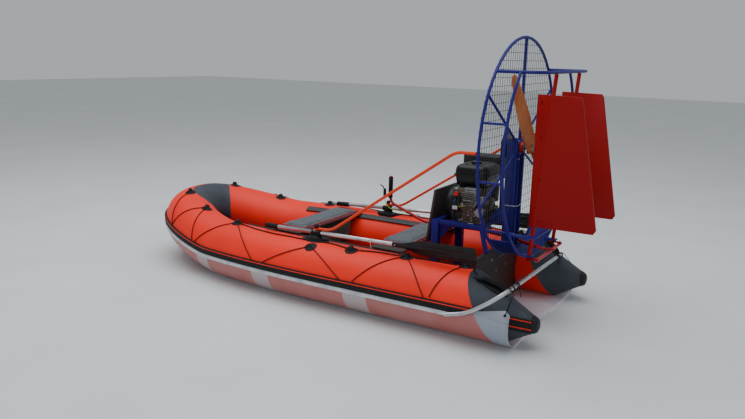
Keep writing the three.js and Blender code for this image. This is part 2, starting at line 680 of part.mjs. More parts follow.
// The blade's sections along its length: radius, chord, thickness, pitch angle.
const BLADE_SECTIONS = [
  [30, 76, 34, 38],
  [110, 84, 24, 32],
  [240, 104, 18, 24],
  [380, 102, 14, 18],
  [520, 84, 10, 14],
  [600, 62, 7, 12],
  [PROP_R, 30, 5, 11],
];
function blade() {
  const sides = 10;
  const rings = BLADE_SECTIONS.map(([radius, chord, thickness, pitch]) => {
    const turn = THREE.MathUtils.degToRad(pitch);
    return circlePoints(1, sides).map((point) => {
      const [a, b] = [point.x * chord / 2, point.y * thickness / 2];
      return V(PROP_X + a * Math.sin(turn) + b * Math.cos(turn), a * Math.cos(turn) - b * Math.sin(turn),
        RING_Z + radius);
    });
  });
  return loft(rings, circlePoints(1, sides));
}
function propeller() {
  const one = blade();
  const other = one.translate([0, 0, -RING_Z]).rotate([180, 0, 0]).translate([0, 0, RING_Z]);
  const boss = along(HUB_X.front - 6, HUB_X.back + 8, HUB_R - 4);
  return union(one, other, boss)
    .subtract(along(HUB_X.front - 6, HUB_X.front + 60, HUB_R + 4))
    .subtract(along(HUB_X.back + 8, HUB_X.back - 60, HUB_R + 4))
    .translate([0, 0, -RING_Z]).rotate([-PROP_TILT, 0, 0]).translate([0, 0, RING_Z]);
}
add('propeller_blades', propeller(), 0xb47038, 0.45);
const hubBolts = Array.from({ length: 4 }, (_, i) => {
  const angle = Math.PI / 2 * i + Math.PI / 4;
  const [y, z] = [26 * Math.sin(angle), RING_Z + 26 * Math.cos(angle)];
  return bar(V(HUB_X.back + 1, y, z), V(HUB_X.back - 8, y, z), 6, 6);
});
add('prop_plate', union(along(HUB_X.back + 8 - GAP, HUB_X.back, HUB_R), hubBolts), 0x9a9da0, 0.35, 0.9);

// Engine: crankcase and cylinder, fan housing, tank, air cleaner, muffler

const CRANK_X = { front: -930, back: -1150 };
const COWL_TOP = 835;
function engineBlock() {
  const base = box(CRANK_X.back, CRANK_X.front, -130, 120, PLATFORM_Z + 45 + GAP, 700);
  const crankcase = bar(V(CRANK_X.back, 0, CRANK_Z), V(CRANK_X.front, 0, CRANK_Z), 78, 20);
  const cylinder = box(CRANK_X.back + 50, CRANK_X.front - 50, 40, 190, 700, 830);
  const cowl = box(CRANK_X.back + 40, CRANK_X.front - 40, -95, 60, 690, COWL_TOP);
  const fins = Array.from({ length: 6 }, (_, i) => (
    box(CRANK_X.back + 40, CRANK_X.front - 40, 90 + i * 18, 96 + i * 18, 715, 845)
  ));
  const outputShaft = bar(V(CRANK_X.back + 10, 0, CRANK_Z), V(CRANK_X.back - 20, 0, CRANK_Z), 30, 16);
  return union(base, crankcase, cylinder, cowl, fins, outputShaft);
}
add('engine_block', engineBlock(), 0x77726c, 0.55, 0.5);

const fanHousing = union(
  bar(V(CRANK_X.front + 0.5, 0, CRANK_Z), V(ENGINE_FRONT_X - 6, 0, CRANK_Z), 118, 28),
  bar(V(ENGINE_FRONT_X - 7, 0, CRANK_Z), V(ENGINE_FRONT_X, 0, CRANK_Z), 70, 24),
);
add('engine_fan_housing', fanHousing, 0x2b2c2e, 0.5);

const TANK = { x0: -1150, x1: -920, y0: -160, y1: 140, z0: 845, flange: 926, top: 998 };
const tank = union(
  roundedBox(TANK.x0, TANK.x1, TANK.y0, TANK.y1, TANK.z0, TANK.top, 45, 18),
  roundedBox(TANK.x0 - 8, TANK.x1 + 8, TANK.y0 - 6, TANK.y1 + 8, TANK.flange, TANK.flange + 7, 50),
  bar(V(-1035, 20, TANK.top - 4), V(-1035, 20, 1016), 34, 20),
  [-1000, -1080].map((x) => box(x - 12, x + 12, -60, 50, COWL_TOP + GAP, TANK.z0 + 4)),
);
add('fuel_tank', tank, 0x1b1b1d, 0.35);

// The air cleaner stands beside the tank, on an elbow from the cowl.
const cleaner = union(
  roundedBox(-1135, -840, -330, -172, 862, 1026, 34, 12),
  box(-1020, -980, -205, -64, COWL_TOP + GAP, 844),
  box(-1020, -980, -205, -180, COWL_TOP + GAP, 868),
);
add('air_cleaner', cleaner, 0x202022, 0.5);

const muffler = union(
  roundedBox(-1130, -950, -215, -140, 716, 830, 30, 8),
  box(-1080, -1030, -145, -95 - GAP, 740, 790),
);
add('muffler', muffler, 0x55585b, 0.45, 0.7);

// Drive belt and the crankshaft's pulley

const lowerPulley = union(
  bar(V(BELT_X - BELT_W / 2, 0, CRANK_Z), V(BELT_X + BELT_W / 2, 0, CRANK_Z), LOWER_PULLEY_R, 24),
  bar(V(CRANK_X.back - 20 - GAP, 0, CRANK_Z), V(BELT_X, 0, CRANK_Z), 14, 16),
);
add('crank_pulley', lowerPulley, 0x8a8d90, 0.35, 0.9);

// The outline of a belt round both pulleys, at a clearance from them.
function beltOutline(clearance) {
  const [low, high] = [LOWER_PULLEY_R + clearance, UPPER_PULLEY_R + clearance];
  const span = RING_Z - CRANK_Z;
  const lean = THREE.MathUtils.radToDeg(Math.asin((high - low) / span));
  const lower = arc(low, 180 + lean, 360 - lean, 12).map(([y, z]) => [y, z + CRANK_Z]);
  const upper = arc(high, -lean, 180 + lean, 20).map(([y, z]) => [y, z + RING_Z]);
  return [...lower, ...upper];
}
const belt = crossSlab(beltOutline(6.5), BELT_X - BELT_W / 2 + 1, BELT_X + BELT_W / 2 - 1)
  .subtract(crossSlab(beltOutline(0.8), BELT_X - BELT_W, BELT_X + BELT_W));
add('drive_belt', belt, DARK, 0.8);

// Engine frame: platform rails, cross bars, front legs to the deck, rear legs
// to the transom

function engineFrame() {
  const half = FRAME_TUBE / 2;
  const z = PLATFORM_Z + 30;
  const sidePieces = [1, -1].map((side) => {
    const y = side * FRAME_Y;
    return union(
      box(-1185, -815, y - half, y + half, z - half, z + half),
      box(-865, -815, y - 25, y + 25, DECK_Z + DECK_T + GAP, z + half),
      box(-816, -803, y - side * 18 - 6, y - side * 18 + 6, 604, 616),
      sideSlab([[-866, z - 10], [-866, z - 130], [-960, z - 10]], y - 3, y + 3),
      squareBar(V(-1172, side * (FRAME_Y + 15), z), V(-1212, side * (FRAME_Y + 15), TRANSOM_TOP + 12), 24, 24),
      box(-1234, -1206, side * (FRAME_Y + 15) - 22, side * (FRAME_Y + 15) + 22, TRANSOM_TOP + GAP, TRANSOM_TOP + 16),
    );
  });
  const crossBars = [-845, -960, -1120, -1165].map((x) => box(x - 20, x + 20, -FRAME_Y, FRAME_Y, z - 5, z + half));
  return union(sidePieces, crossBars);
}
add('engine_frame', engineFrame(), BLUE, 0.45);

// Backrest board in front of the engine, leaning aft, against two tabs of the frame
const BACKREST = [[-762, 450], [-812, 820], [-830, 820], [-780, 450]];
add('backrest_board', sideSlab(BACKREST, -200, 200), DARK, 0.7);

// Stern tube: aluminium, from the port strip round and across to the starboard cone

const sternTube = pipe([
  V(-1190, 768.4, 190), V(-1330, 773, 226), V(-1480, 772, 330), V(-1550, 735, 388), V(-1562, 586, 396),
  V(-1514, -430, 324), V(-1497, -560, 311),
], 13, 60, 10, 3);
add('stern_tube', sternTube, 0xb4b7ba, 0.35, 0.85);

// Oarlocks on the tubes, oars on their pins, braces from the pins to the ring

const PIN = { r: 6, top: 522 };
const SLEEVE = { r: 26, half: 20 };
const OAR_LEAN_END = V(-948, 550, OAR_Z + 34);
const OAR_GRIP = { inner: -362, end: -475 };      // along the shaft from the pin
const OAR_BLADE = { root: 545, flare: 850, end: 1228, half: 58, thick: 12 };
const OAR_SHAFT_END = OAR_BLADE.root + 110;
const tubeTop = TUBE_Z + TUBE_R;
const { x: pinX, y: pinY } = OARLOCK;
const PIN_LEAN = 10;             // degrees outboard: a grip rises as it swings inboard
const leaning = (made) => made.translate([-pinX, -pinY, -OAR_Z])
  .rotate([-PIN_LEAN, 0, 0])
  .translate([pinX, pinY, OAR_Z]);
const onPin = (low, high, radius, sides) => leaning(bar(V(pinX, pinY, low), V(pinX, pinY, high), radius, sides));
const oarDirection = OAR_LEAN_END.clone().sub(V(pinX, pinY, OAR_Z)).normalize();
const onOar = (distance) => V(pinX, pinY, OAR_Z).addScaledVector(oarDirection, distance);

function oarlock() {
  const base = roundedBox(pinX - 85, pinX + 85, pinY - 45, pinY + 45, tubeTop - 20, tubeTop + 10, 44);
  return union(
    base.subtract(hullTubeGrown),
    onPin(tubeTop + 5, OAR_Z - SLEEVE.half - 1, 20, 20),
    onPin(tubeTop + 6, PIN.top + 4, PIN.r, 16),
    onPin(BRACE_Z + 7, PIN.top, 16, 20),
  );
}

function oarBlade() {
  const { root, flare, end, half } = OAR_BLADE;
  const outline = [[root, 13], [flare, half - 12], [end, half], [end, -half], [flare, -half], [root, -13]];
  const geometry = new THREE.ExtrudeGeometry(
    new THREE.Shape(outline.map(([along, up]) => new THREE.Vector2(along, up))),
    { depth: OAR_BLADE.thick, bevelEnabled: false },
  );
  geometry.translate(0, 0, -OAR_BLADE.thick / 2);
  const up = V(0, 0.25, 1).addScaledVector(oarDirection, -V(0, 0.25, 1).dot(oarDirection)).normalize();
  geometry.applyMatrix4(new THREE.Matrix4().makeBasis(oarDirection, up, oarDirection.clone().cross(up)));
  geometry.translate(pinX, pinY, OAR_Z);
  return solid(geometry);
}

const oarShaft = bar(onOar(OAR_GRIP.end + 6), onOar(OAR_SHAFT_END), OAR_R, 14);
const oarShaftGrown = bar(onOar(OAR_GRIP.end + 6 - GAP), onOar(OAR_SHAFT_END + GAP), OAR_R + GAP, 14);
const sleeve = onPin(OAR_Z - SLEEVE.half, OAR_Z + SLEEVE.half, SLEEVE.r, 24);
const grip = bar(onOar(OAR_GRIP.end), onOar(OAR_GRIP.inner), 19, 16);

const braceY = pinY + (BRACE_Z - OAR_Z) * Math.tan(THREE.MathUtils.degToRad(PIN_LEAN));
const BRACE_ROUTE = [
  V(pinX + 4, braceY, BRACE_Z), V(-185, braceY, BRACE_Z), V(-1150, 630, 1150), V(FRONT_RING_X, RING_R, 1162),
];
const brace = pipe(BRACE_ROUTE, BRACE_R, 50, 10, 3)
  .intersect(box(MESH_X + WIRE + GAP, 2000, 0, 900, BRACE_Z - 9, 1400))
  .add(onPin(BRACE_Z - 5, BRACE_Z + 6, 20, 20))
  .subtract(onPin(BRACE_Z + 6, BRACE_Z + 40, 24, 20))
  .subtract(onPin(300, 700, PIN.r + GAP, 16));

for (const [side, mirror] of SIDES) {
  add(`oarlock_${side}`, mirror(oarlock()), DARK, 0.6);
  add(`oar_shaft_${side}`, mirror(oarShaft.add(sleeve).subtract(onPin(300, 700, PIN.r + 1, 16))), 0xb9bcc0, 0.35, 0.85);
  add(`oar_grip_${side}`, mirror(grip.subtract(oarShaftGrown)), DARK, 0.85);
  add(`oar_blade_${side}`, mirror(oarBlade().subtract(oarShaftGrown)), DARK, 0.6);
  add(`brace_${side}`, mirror(brace), 0xd2481e, 0.4);
}

// Guard mesh, on the front of the front ring

const MESH_PITCH = 150;
function guardMesh() {
  const x0 = MESH_X;
  const wires = [];
  for (let offset = -600; offset <= 600; offset += MESH_PITCH) {
    const reach = Math.sqrt(RING_R ** 2 - offset ** 2);
    wires.push(box(x0, x0 + WIRE, offset - WIRE / 2, offset + WIRE / 2, RING_Z - reach, RING_Z + reach));
    wires.push(box(x0, x0 + WIRE, -reach, reach, RING_Z + offset - WIRE / 2, RING_Z + offset + WIRE / 2));
  }
  const rim = arc(RING_R + 3, 0, 352.5, 47);
  const rimHole = arc(RING_R - 3, 0, 352.5, 47);
  const toWorld = ([y, z]) => [y, z + RING_Z];
  const rimRing = crossSlab(rim.map(toWorld), x0, x0 + WIRE)
    .subtract(crossSlab(rimHole.map(toWorld), x0 - 1, x0 + WIRE + 1));
  const mastSpace = box(-1400, -1200, -MAST.half - 2, MAST.half + 2, 450, MAST.top + 2);
  const border = [
    box(x0, x0 + WIRE, MAST.half + 2, MAST.half + 2 + WIRE, RING_Z - RING_R + 5, MAST.top + 2 + WIRE),
    box(x0, x0 + WIRE, -MAST.half - 2 - WIRE, -MAST.half - 2, RING_Z - RING_R + 5, MAST.top + 2 + WIRE),
    box(x0, x0 + WIRE, -MAST.half - 3, MAST.half + 3, MAST.top + 2, MAST.top + 2 + WIRE),
  ];
  return union(rimRing, wires).subtract(mastSpace).add(union(border));
}
add('cage_mesh', guardMesh(), DARK, 0.5, 0.4);

// Rudders: plate, stock and crank in one welded piece

const RUDDER_OUTLINE = [
  [-1500, 679], [-1500, 1490], [-1756, 1485], [-1768, 1464], [-1909, 705], [-1894, 681],
];
const pinX0 = stockX(CRANK_Z0) - CRANK_ARM;
function rudder(side) {
  const y = side * RUDDER_Y;
  const plate = sideSlab(RUDDER_OUTLINE, y - RUDDER_T / 2, y + RUDDER_T / 2);
  const arm = box(pinX0 - 12, stockX(CRANK_Z0), y - 13, y + 13, CRANK_Z0, CRANK_Z0 + CRANK_T)
    .subtract(bar(V(pinX0, y, 300), V(pinX0, y, 600), PIN_R + 0.8, 16));
  return union(plate, stock(side), arm);
}
add('rudder_port', rudder(1), RED, 0.45);
add('rudder_starboard', rudder(-1), RED, 0.45);

// Tie bar under the cranks, with a pin up through each and one for the tiller

const TIE = { z0: 457.5, z1: 465.5, half: 12 };
const tieBar = union(
  box(pinX0 - TIE.half, pinX0 + TIE.half, -RUDDER_Y - 14, RUDDER_Y + 14, TIE.z0, TIE.z1),
  [RUDDER_Y, -RUDDER_Y].map((y) => bar(V(pinX0, y, TIE.z0 - 6), V(pinX0, y, CRANK_Z0 + CRANK_T + 7), PIN_R, 12)),
  bar(V(pinX0, 0, TIE.z0 - 6), V(pinX0, 0, TILLER_PIVOT.z + 14), PIN_R, 12),
);
add('tie_bar', tieBar, 0xb0303a, 0.45);

// Tiller: tube from the slotted plate at the tie bar, over the transom, to the grip

const TILLER_ROUTE = [
  V(-200, -300, 628), V(-200, -300, 572), V(-520, -276, 462), V(-960, -282, 466),
  V(TILLER_PIVOT.x, TILLER_PIVOT.y, TILLER_PIVOT.z), V(pinX0 + 62, -5, TILLER_PIVOT.z),
];
const pivotHole = (radius) => bar(V(TILLER_PIVOT.x, TILLER_PIVOT.y, 400), V(TILLER_PIVOT.x, TILLER_PIVOT.y, 560),
  radius, 16);
function tiller() {
  const { x, y, z } = TILLER_PIVOT;
  const fork = box(pinX0 - 36, pinX0 + 76, -15, 15, z - 4, z + 4);
  const slot = box(pinX0 - 50, pinX0 + 30, -6, 6, z - 9, z + 9);
  const boss = bar(V(x, y, z - 12), V(x, y, z + 12), 17, 20);
  return union(pipe(TILLER_ROUTE, TILLER_R, 45, 10, 4), boss, fork).subtract(slot).subtract(pivotHole(PIN_R + 0.8));
}
add('tiller_tube', tiller(), 0xb02030, 0.4);
add('tiller_grip', roundedBox(-217, -183, -317, -283, 628 + GAP, 772, 16, 3), DARK, 0.85);
const pivotPost = union(
  box(-1234, -1206, TILLER_PIVOT.y - 22, TILLER_PIVOT.y + 22, TRANSOM_TOP + GAP, TRANSOM_TOP + 8),
  bar(V(TILLER_PIVOT.x, TILLER_PIVOT.y, TRANSOM_TOP + 4), V(TILLER_PIVOT.x, TILLER_PIVOT.y, TILLER_PIVOT.z - 13),
    12, 16),
  bar(V(TILLER_PIVOT.x, TILLER_PIVOT.y, TRANSOM_TOP + 4), V(TILLER_PIVOT.x, TILLER_PIVOT.y, TILLER_PIVOT.z + 20),
    PIN_R, 12),
);
add('tiller_pivot', pivotPost, BLUE, 0.45);
const lever = union(
  bar(V(-200, -300, 606), V(-200, -300, 626), 18, 16),
  box(-186, -150, -306, -294, 612, 624),
  box(-158, -138, -307, -293, 598, 672),
  squareBar(V(-147, -300, 666), V(-126, -300, 692), 12, 5),
  squareBar(V(-129, -300, 690), V(-104, -300, 698), 12, 5),
);
add('throttle_lever', lever.subtract(pipe(TILLER_ROUTE, TILLER_R + GAP, 45, 10, 4)), DARK, 0.5);

export default boat;
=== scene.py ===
# %% [markdown]
# # An air-propelled inflatable boat
#
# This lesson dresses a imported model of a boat: two inflated side tubes with cone
# sterns, an engine that turns a caged wooden propeller, two air rudders and a tiller.
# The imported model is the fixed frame. Its pieces say where everything is, and this
# script gives them smooth skins, real finishes, and the small parts that a frame
# leaves out.

# %% Load the fixed frame
import json
import math

import bmesh
import bpy
from mathutils import Matrix, Vector
from mathutils.bvhtree import BVHTree


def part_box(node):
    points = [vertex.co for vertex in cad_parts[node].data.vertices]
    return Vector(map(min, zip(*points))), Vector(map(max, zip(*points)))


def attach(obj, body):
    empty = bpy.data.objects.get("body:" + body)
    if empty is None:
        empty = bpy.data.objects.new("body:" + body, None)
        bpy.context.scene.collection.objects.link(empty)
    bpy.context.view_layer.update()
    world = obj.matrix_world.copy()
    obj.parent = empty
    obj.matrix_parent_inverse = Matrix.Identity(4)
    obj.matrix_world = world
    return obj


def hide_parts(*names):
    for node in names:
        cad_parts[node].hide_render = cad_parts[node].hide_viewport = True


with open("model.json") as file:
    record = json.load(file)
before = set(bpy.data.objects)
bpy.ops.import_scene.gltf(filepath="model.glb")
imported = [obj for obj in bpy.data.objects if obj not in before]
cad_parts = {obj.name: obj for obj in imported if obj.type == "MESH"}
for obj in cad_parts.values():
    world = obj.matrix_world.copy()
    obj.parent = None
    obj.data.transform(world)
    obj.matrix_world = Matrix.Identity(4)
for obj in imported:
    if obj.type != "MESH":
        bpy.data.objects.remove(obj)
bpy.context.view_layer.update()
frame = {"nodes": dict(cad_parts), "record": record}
scene = bpy.context.scene

# %% [markdown]
# The camera stands off the port quarter at head height and looks down a little, with
# a slight roll. Its matrix is written from three directions: right, up and backwards.
# That is more exact than aiming it at a target, which can't hold a roll.

# %% Camera
IMAGE_WIDTH, FOCAL_PIXELS, SENSOR_MM = 745, 708.93, 36
CAMERA_PLACE = (-2.8453, 4.4482, 1.7083)
yaw, pitch, roll = (math.radians(a) for a in (-59.42, 12.46, 1.43))
ahead = Vector((math.cos(yaw) * math.cos(pitch), math.sin(yaw) * math.cos(pitch), -math.sin(pitch)))
level = Vector((math.sin(yaw), -math.cos(yaw), 0))
above = level.cross(ahead)
right = level * math.cos(roll) + above * math.sin(roll)
up = above * math.cos(roll) - level * math.sin(roll)
lens = bpy.data.cameras.new("camera")
lens.sensor_width = SENSOR_MM
lens.lens = SENSOR_MM * FOCAL_PIXELS / IMAGE_WIDTH
lens.clip_start, lens.clip_end = 0.05, 100
camera = bpy.data.objects.new("camera", lens)
camera.matrix_world = Matrix((right, up, -ahead)).transposed().to_4x4()
camera.location = CAMERA_PLACE
scene.collection.objects.link(camera)
scene.camera = camera
print("camera lens", round(lens.lens, 2), "mm")

# %% [markdown]
# A large soft light overhead stands for an overcast sky, a second one fills the near
# side, and the world adds a little light from everywhere, so no shadow goes black.

# %% Lights
def soft_light(name, place, aim, width, power, tint=(1, 1, 1)):
    """A square area light of a width and power, aimed at a point."""
    lamp = bpy.data.lights.new(name, "AREA")
    lamp.size, lamp.energy, lamp.color = width, power, tint
    holder = bpy.data.objects.new(name, lamp)
    turn = (Vector(aim) - Vector(place)).to_track_quat("-Z", "Y")
    holder.matrix_world = Matrix.Translation(place) @ turn.to_matrix().to_4x4()
    scene.collection.objects.link(holder)


soft_light("sky", (0.5, 0.5, 6.5), (-0.2, 0.0, 0.3), 7.0, 420, (0.96, 0.98, 1.0))
soft_light("near_fill", (-3.0, 6.5, 2.2), (-0.4, 0.2, 0.5), 4.0, 34, (1.0, 0.98, 0.95))
world = bpy.data.worlds.new("studio")
world.use_nodes = True
backdrop = world.node_tree.nodes["Background"]
backdrop.inputs["Color"].default_value = (0.80, 0.84, 0.88, 1)
backdrop.inputs["Strength"].default_value = 0.56
scene.world = world

# %% [markdown]
# Shader maths reads badly as a list of nodes. A small class wraps a socket, so that
# sums and products can be written as Python does, and each adds its Math node.

# %% Shader arithmetic
def join(value, socket):
    """Put a number, colour or wire into a socket."""
    if isinstance(value, Wire):
        socket.id_data.links.new(value.socket, socket)
    elif hasattr(value, "__len__") and len(value) == 3 and socket.type == "RGBA":
        socket.default_value = (*value, 1)
    else:
        socket.default_value = value


def operator(operation, reflected=False):
    """A Python operator that adds a Math node."""
    def method(self, other):
        pair = (other, self) if reflected else (self, other)
        return self.math(operation, *pair)
    return method


class Wire:
    """An output of a shader node that can be added, multiplied and compared."""

    def __init__(self, socket):
        self.socket = socket

    def math(self, operation, first, second=0.0):
        node = self.socket.id_data.nodes.new("ShaderNodeMath")
        node.operation = operation
        join(first, node.inputs[0])
        join(second, node.inputs[1])
        return Wire(node.outputs[0])

    __add__, __radd__ = operator("ADD"), operator("ADD", True)
    __sub__, __rsub__ = operator("SUBTRACT"), operator("SUBTRACT", True)
    __mul__, __rmul__ = operator("MULTIPLY"), operator("MULTIPLY", True)
    __lt__, __gt__ = operator("LESS_THAN"), operator("GREATER_THAN")

    def sine(self):
        return self.math("SINE", self)

    def between(self, low, high):
        """Rises from 0 at low to 1 at high, and stays within."""
        node = self.socket.id_data.nodes.new("ShaderNodeMapRange")
        join(self, node.inputs[0])
        join(low, node.inputs[1])
        join(high, node.inputs[2])
        return Wire(node.outputs[0])


print("socket operators ready")

# %% [markdown]
# A recipe is one material in the making. One method adds any node, and the others
# are the few patterns that this boat's finishes share: noise, a mix of two colours,
# and a bump from a height.

# %% Material recipes
def tone(code):
    """A colour as the screen shows it, from its hexadecimal code, in linear light."""
    parts = [int(code[i:i + 2], 16) / 255 for i in (0, 2, 4)]
    return tuple(p / 12.92 if p <= 0.04045 else ((p + 0.055) / 1.055) ** 2.4 for p in parts)


class Recipe:
    """A principled material whose sockets are filled by name."""

    def __init__(self, name, **plain):
        self.material = bpy.data.materials.new(name)
        self.material.use_nodes = True
        self.tree = self.material.node_tree
        self.shader = self.tree.nodes["Principled BSDF"]
        self.fill(**plain)
        self.coordinates = self.node("TexCoord", out="Object")

    def fill(self, **sockets):
        """Fill sockets of the shader: base_color is Base Color, and so on."""
        for key, value in sockets.items():
            name = "Specular IOR Level" if key == "specular" else key.replace("_", " ").title()
            join(value, self.shader.inputs[name])

    def node(self, kind, settings=None, inputs=None, out=0):
        node = self.tree.nodes.new("ShaderNode" + kind)
        for key, value in (settings or {}).items():
            setattr(node, key, value)
        for key, value in (inputs or {}).items():
            join(value, node.inputs[key])
        return Wire(node.outputs[out])

    def axis(self, letter):
        """One Object coordinate."""
        return self.node("SeparateXYZ", inputs={0: self.coordinates}, out="xyz".index(letter))

    def stretched(self, by):
        return self.node("Mapping", inputs={"Vector": self.coordinates, "Scale": by})

    def noise(self, scale, detail=3.0, rough=0.55, by=(1, 1, 1)):
        inputs = {"Vector": self.stretched(by), "Scale": scale, "Detail": detail, "Roughness": rough}
        return self.node("TexNoise", inputs=inputs)

    def specks(self, scale, by=(1, 1, 1)):
        """Distance to the nearest of many scattered points."""
        return self.node("TexVoronoi", inputs={"Vector": self.stretched(by), "Scale": scale})

    def mix(self, factor, first, second):
        return self.node("Mix", {"data_type": "RGBA"}, {0: factor, 6: first, 7: second}, out=2)

    def bump(self, height, distance, strength=1.0):
        inputs = {"Height": height, "Distance": distance, "Strength": strength}
        self.fill(normal=self.node("Bump", inputs=inputs))


print("recipes ready")

# %% [markdown]
# The hull is fabric coated on both sides with soft plastic. It is satin, with a fine
# weave that prints through, slow swells where the air pushes it, and a little pale
# dust that dulls the gloss. Weave, swell and dust are three patterns at three scales.

# %% Coated fabric
WEAVE = 2600.0  # radians of the weave's wave per metre


def coated_fabric(name, code, pale_code, dust=0.35, drops=0.0):
    recipe = Recipe(name, roughness=0.42, specular=0.32)
    swell = recipe.noise(2.2, 2.0)
    cloud = recipe.noise(9.0, 5.0)
    grime = recipe.noise(38.0, 6.0, 0.7)
    film = (cloud.between(0.42, 0.75) * 0.6 + grime.between(0.5, 0.85) * 0.4) * dust
    tint = recipe.mix(swell.between(0.35, 0.65), tone(code), tuple(c * 1.10 for c in tone(code)))
    colour = recipe.mix(film, tint, tone(pale_code))
    if drops:
        beads = (recipe.specks(95.0) < 0.16) * recipe.noise(4.5, 2.0).between(0.56, 0.66)
        colour = recipe.mix(beads * drops, colour, tone("C9CED2"))
    recipe.fill(base_color=colour, roughness=0.44 + film * 0.4 + grime * 0.06)
    x, y, z = (recipe.axis(a) for a in "xyz")
    weave = (x * WEAVE).sine() * ((y + z) * WEAVE).sine()
    recipe.bump(weave * 0.25 + swell * 10.0 + grime * 0.6, 0.0006, 0.7)
    return recipe.material


orange_fabric = coated_fabric("orange_fabric", "F02204", "E8482A", 0.22)
grey_fabric = coated_fabric("grey_fabric", "343A42", "565C63", 0.35, 0.5)
dark_fabric = coated_fabric("dark_fabric", "141416", "2C2D30", 0.30)
rail_fabric = coated_fabric("rail_fabric", "37373A", "504F52", 0.30)
print("fabric finishes:", *(f.name for f in (orange_fabric, grey_fabric, dark_fabric, rail_fabric)))

# %% [markdown]
# Paint on steel tube is glossy with a faint orange-peel, and it is thinner and duller
# where hands and ropes rub. Rubber and moulded plastic are the same idea with less
# gloss and finer grain.

# %% Paint, plastic and rubber
def paint(name, code, worn_code, gloss=0.36, coat=0.15):
    recipe = Recipe(name, roughness=gloss, coat_weight=coat, coat_roughness=0.2, specular=0.22)
    peel = recipe.noise(260.0, 2.0)
    wear = recipe.noise(14.0, 6.0, 0.7)
    grime = recipe.noise(60.0, 5.0, 0.65)
    rubbed = wear.between(0.56, 0.74) * 0.55
    recipe.fill(base_color=recipe.mix(rubbed, tone(code), tone(worn_code)))
    recipe.fill(roughness=gloss + rubbed * 0.35 + grime * 0.10)
    recipe.bump(peel + grime * 0.4, 0.00025, 0.6)
    return recipe.material


def moulded(name, code, pale_code, rough=0.5, grain=420.0, depth=0.00025):
    recipe = Recipe(name, roughness=rough, specular=0.3)
    fine = recipe.noise(grain, 2.0)
    cloud = recipe.noise(16.0, 5.0, 0.65)
    recipe.fill(base_color=recipe.mix(cloud.between(0.45, 0.8), tone(code), tone(pale_code)))
    recipe.fill(roughness=rough - 0.06 + cloud * 0.18)
    recipe.bump(fine, depth, 0.8)
    return recipe.material


blue_paint = paint("blue_paint", "18126E", "2A2884", 0.42, 0.05)
red_paint = paint("red_paint", "940006", "9C0E10", 0.55, 0.0)
bearing_red = paint("bearing_red", "9C120E", "7A2A22", 0.4)
tiller_red = paint("tiller_red", "A2141F", "B03A44")
tie_red = paint("tie_red", "B03A48", "C87880", 0.45)
orange_paint = paint("orange_paint", "DE3A10", "C4582E")
tank_paint = paint("tank_paint", "08090C", "121317", 0.32, 0.12)
knob_red = paint("knob_red", "C01814", "A03028", 0.35)
wire_blue = moulded("wire_blue", "1C5FA8", "2F6FB0", 0.5)
wire_yellow = moulded("wire_yellow", "A8AC1E", "B9BC4A", 0.5)
cable_green = moulded("cable_green", "A9BE12", "B9C840", 0.5)
tie_white = moulded("tie_white", "D6D8D8", "C2C4C4", 0.5)
black_plastic = moulded("black_plastic", "101011", "232427", 0.48)
black_rubber = moulded("black_rubber", "0D0D0E", "1F1F20", 0.62, 500.0)
belt_rubber = moulded("belt_rubber", "0C0C0C", "1A1A1A", 0.7)
board_black = moulded("board_black", "3A3432", "4A4340", 0.6, 180.0)
cord_black = moulded("cord_black", "0E0E0E", "242322", 0.8, 900.0, 0.0004)
print("paints and plastics ready")

# %% [markdown]
# Bare metal shows its making: drawn tube has fine lines along its length, castings
# are sandy, and an exhaust is stained by heat. Oil and dust settle on all of them. On the
# castings the strong pale and dark mottle is partly oil stain and partly painted highlights.

# %% Metals
def metal(name, code, dark_code, rough=0.32, by=(1, 1, 1), scale=90.0, grain=0.00015, full=1.0):
    recipe = Recipe(name, metallic=full, roughness=rough)
    lines = recipe.noise(scale, 3.0, 0.6, by)
    # a mottle of stain; on the castings its pale patches are also painted highlights
    stain_and_highlight_noise = recipe.noise(11.0, 6.0, 0.7)
    stain_and_highlight_mask = stain_and_highlight_noise.between(0.45, 0.75)
    recipe.fill(base_color=recipe.mix(stain_and_highlight_mask, tone(code), tone(dark_code)))
    recipe.fill(roughness=rough + stain_and_highlight_mask * 0.22 + lines * 0.08)
    recipe.bump(lines, grain, 0.6)
    return recipe.material


aluminium = metal("aluminium", "C9CCCF", "9FA3A6", 0.30, (2, 40, 40))
steel = metal("steel", "9FA2A5", "74777A", 0.34)
wire_steel = metal("wire_steel", "4B4C4F", "33302E", 0.45, full=0.7)
# casting: the pale patches are painted highlights on the silver metal, the near-black ones its oily stain
casting = metal("casting", "8E8F92", "242322", 0.34, scale=240.0, grain=0.0008, full=0.9)
oily_casting = metal("oily_casting", "574A44", "231D1B", 0.42, scale=200.0, grain=0.0006, full=0.6)
exhaust_steel = metal("exhaust_steel", "4E4A47", "352820", 0.45, scale=120.0, full=0.9)
print("metals ready")

# %% [markdown]
# Wood grain is noise that has been pulled out along the board. The propeller is
# varnished, with bands of laminations; the plywood boards are stained dark.

# %% Woods and boards
def wood(name, light, dark, by, rough=0.35, coat=0.5, bands=120.0, across="y"):
    recipe = Recipe(name, roughness=rough, coat_weight=coat, coat_roughness=0.15)
    grain = recipe.noise(14.0, 6.0, 0.6, by)
    pores = recipe.noise(60.0, 4.0, 0.7, by)
    bend = recipe.noise(3.0, 2.0)
    layers = ((recipe.axis(across) * bands + bend * 4.0).sine() * 0.5 + 0.5).between(0.2, 0.8)
    shade = grain.between(0.35, 0.68) * 0.8 + layers * 0.2
    recipe.fill(base_color=recipe.mix(shade, tone(light), tone(dark)))
    recipe.fill(roughness=rough + pores * 0.15)
    recipe.bump(pores * 0.6 + grain * 0.4, 0.0004, 0.5)
    return recipe.material


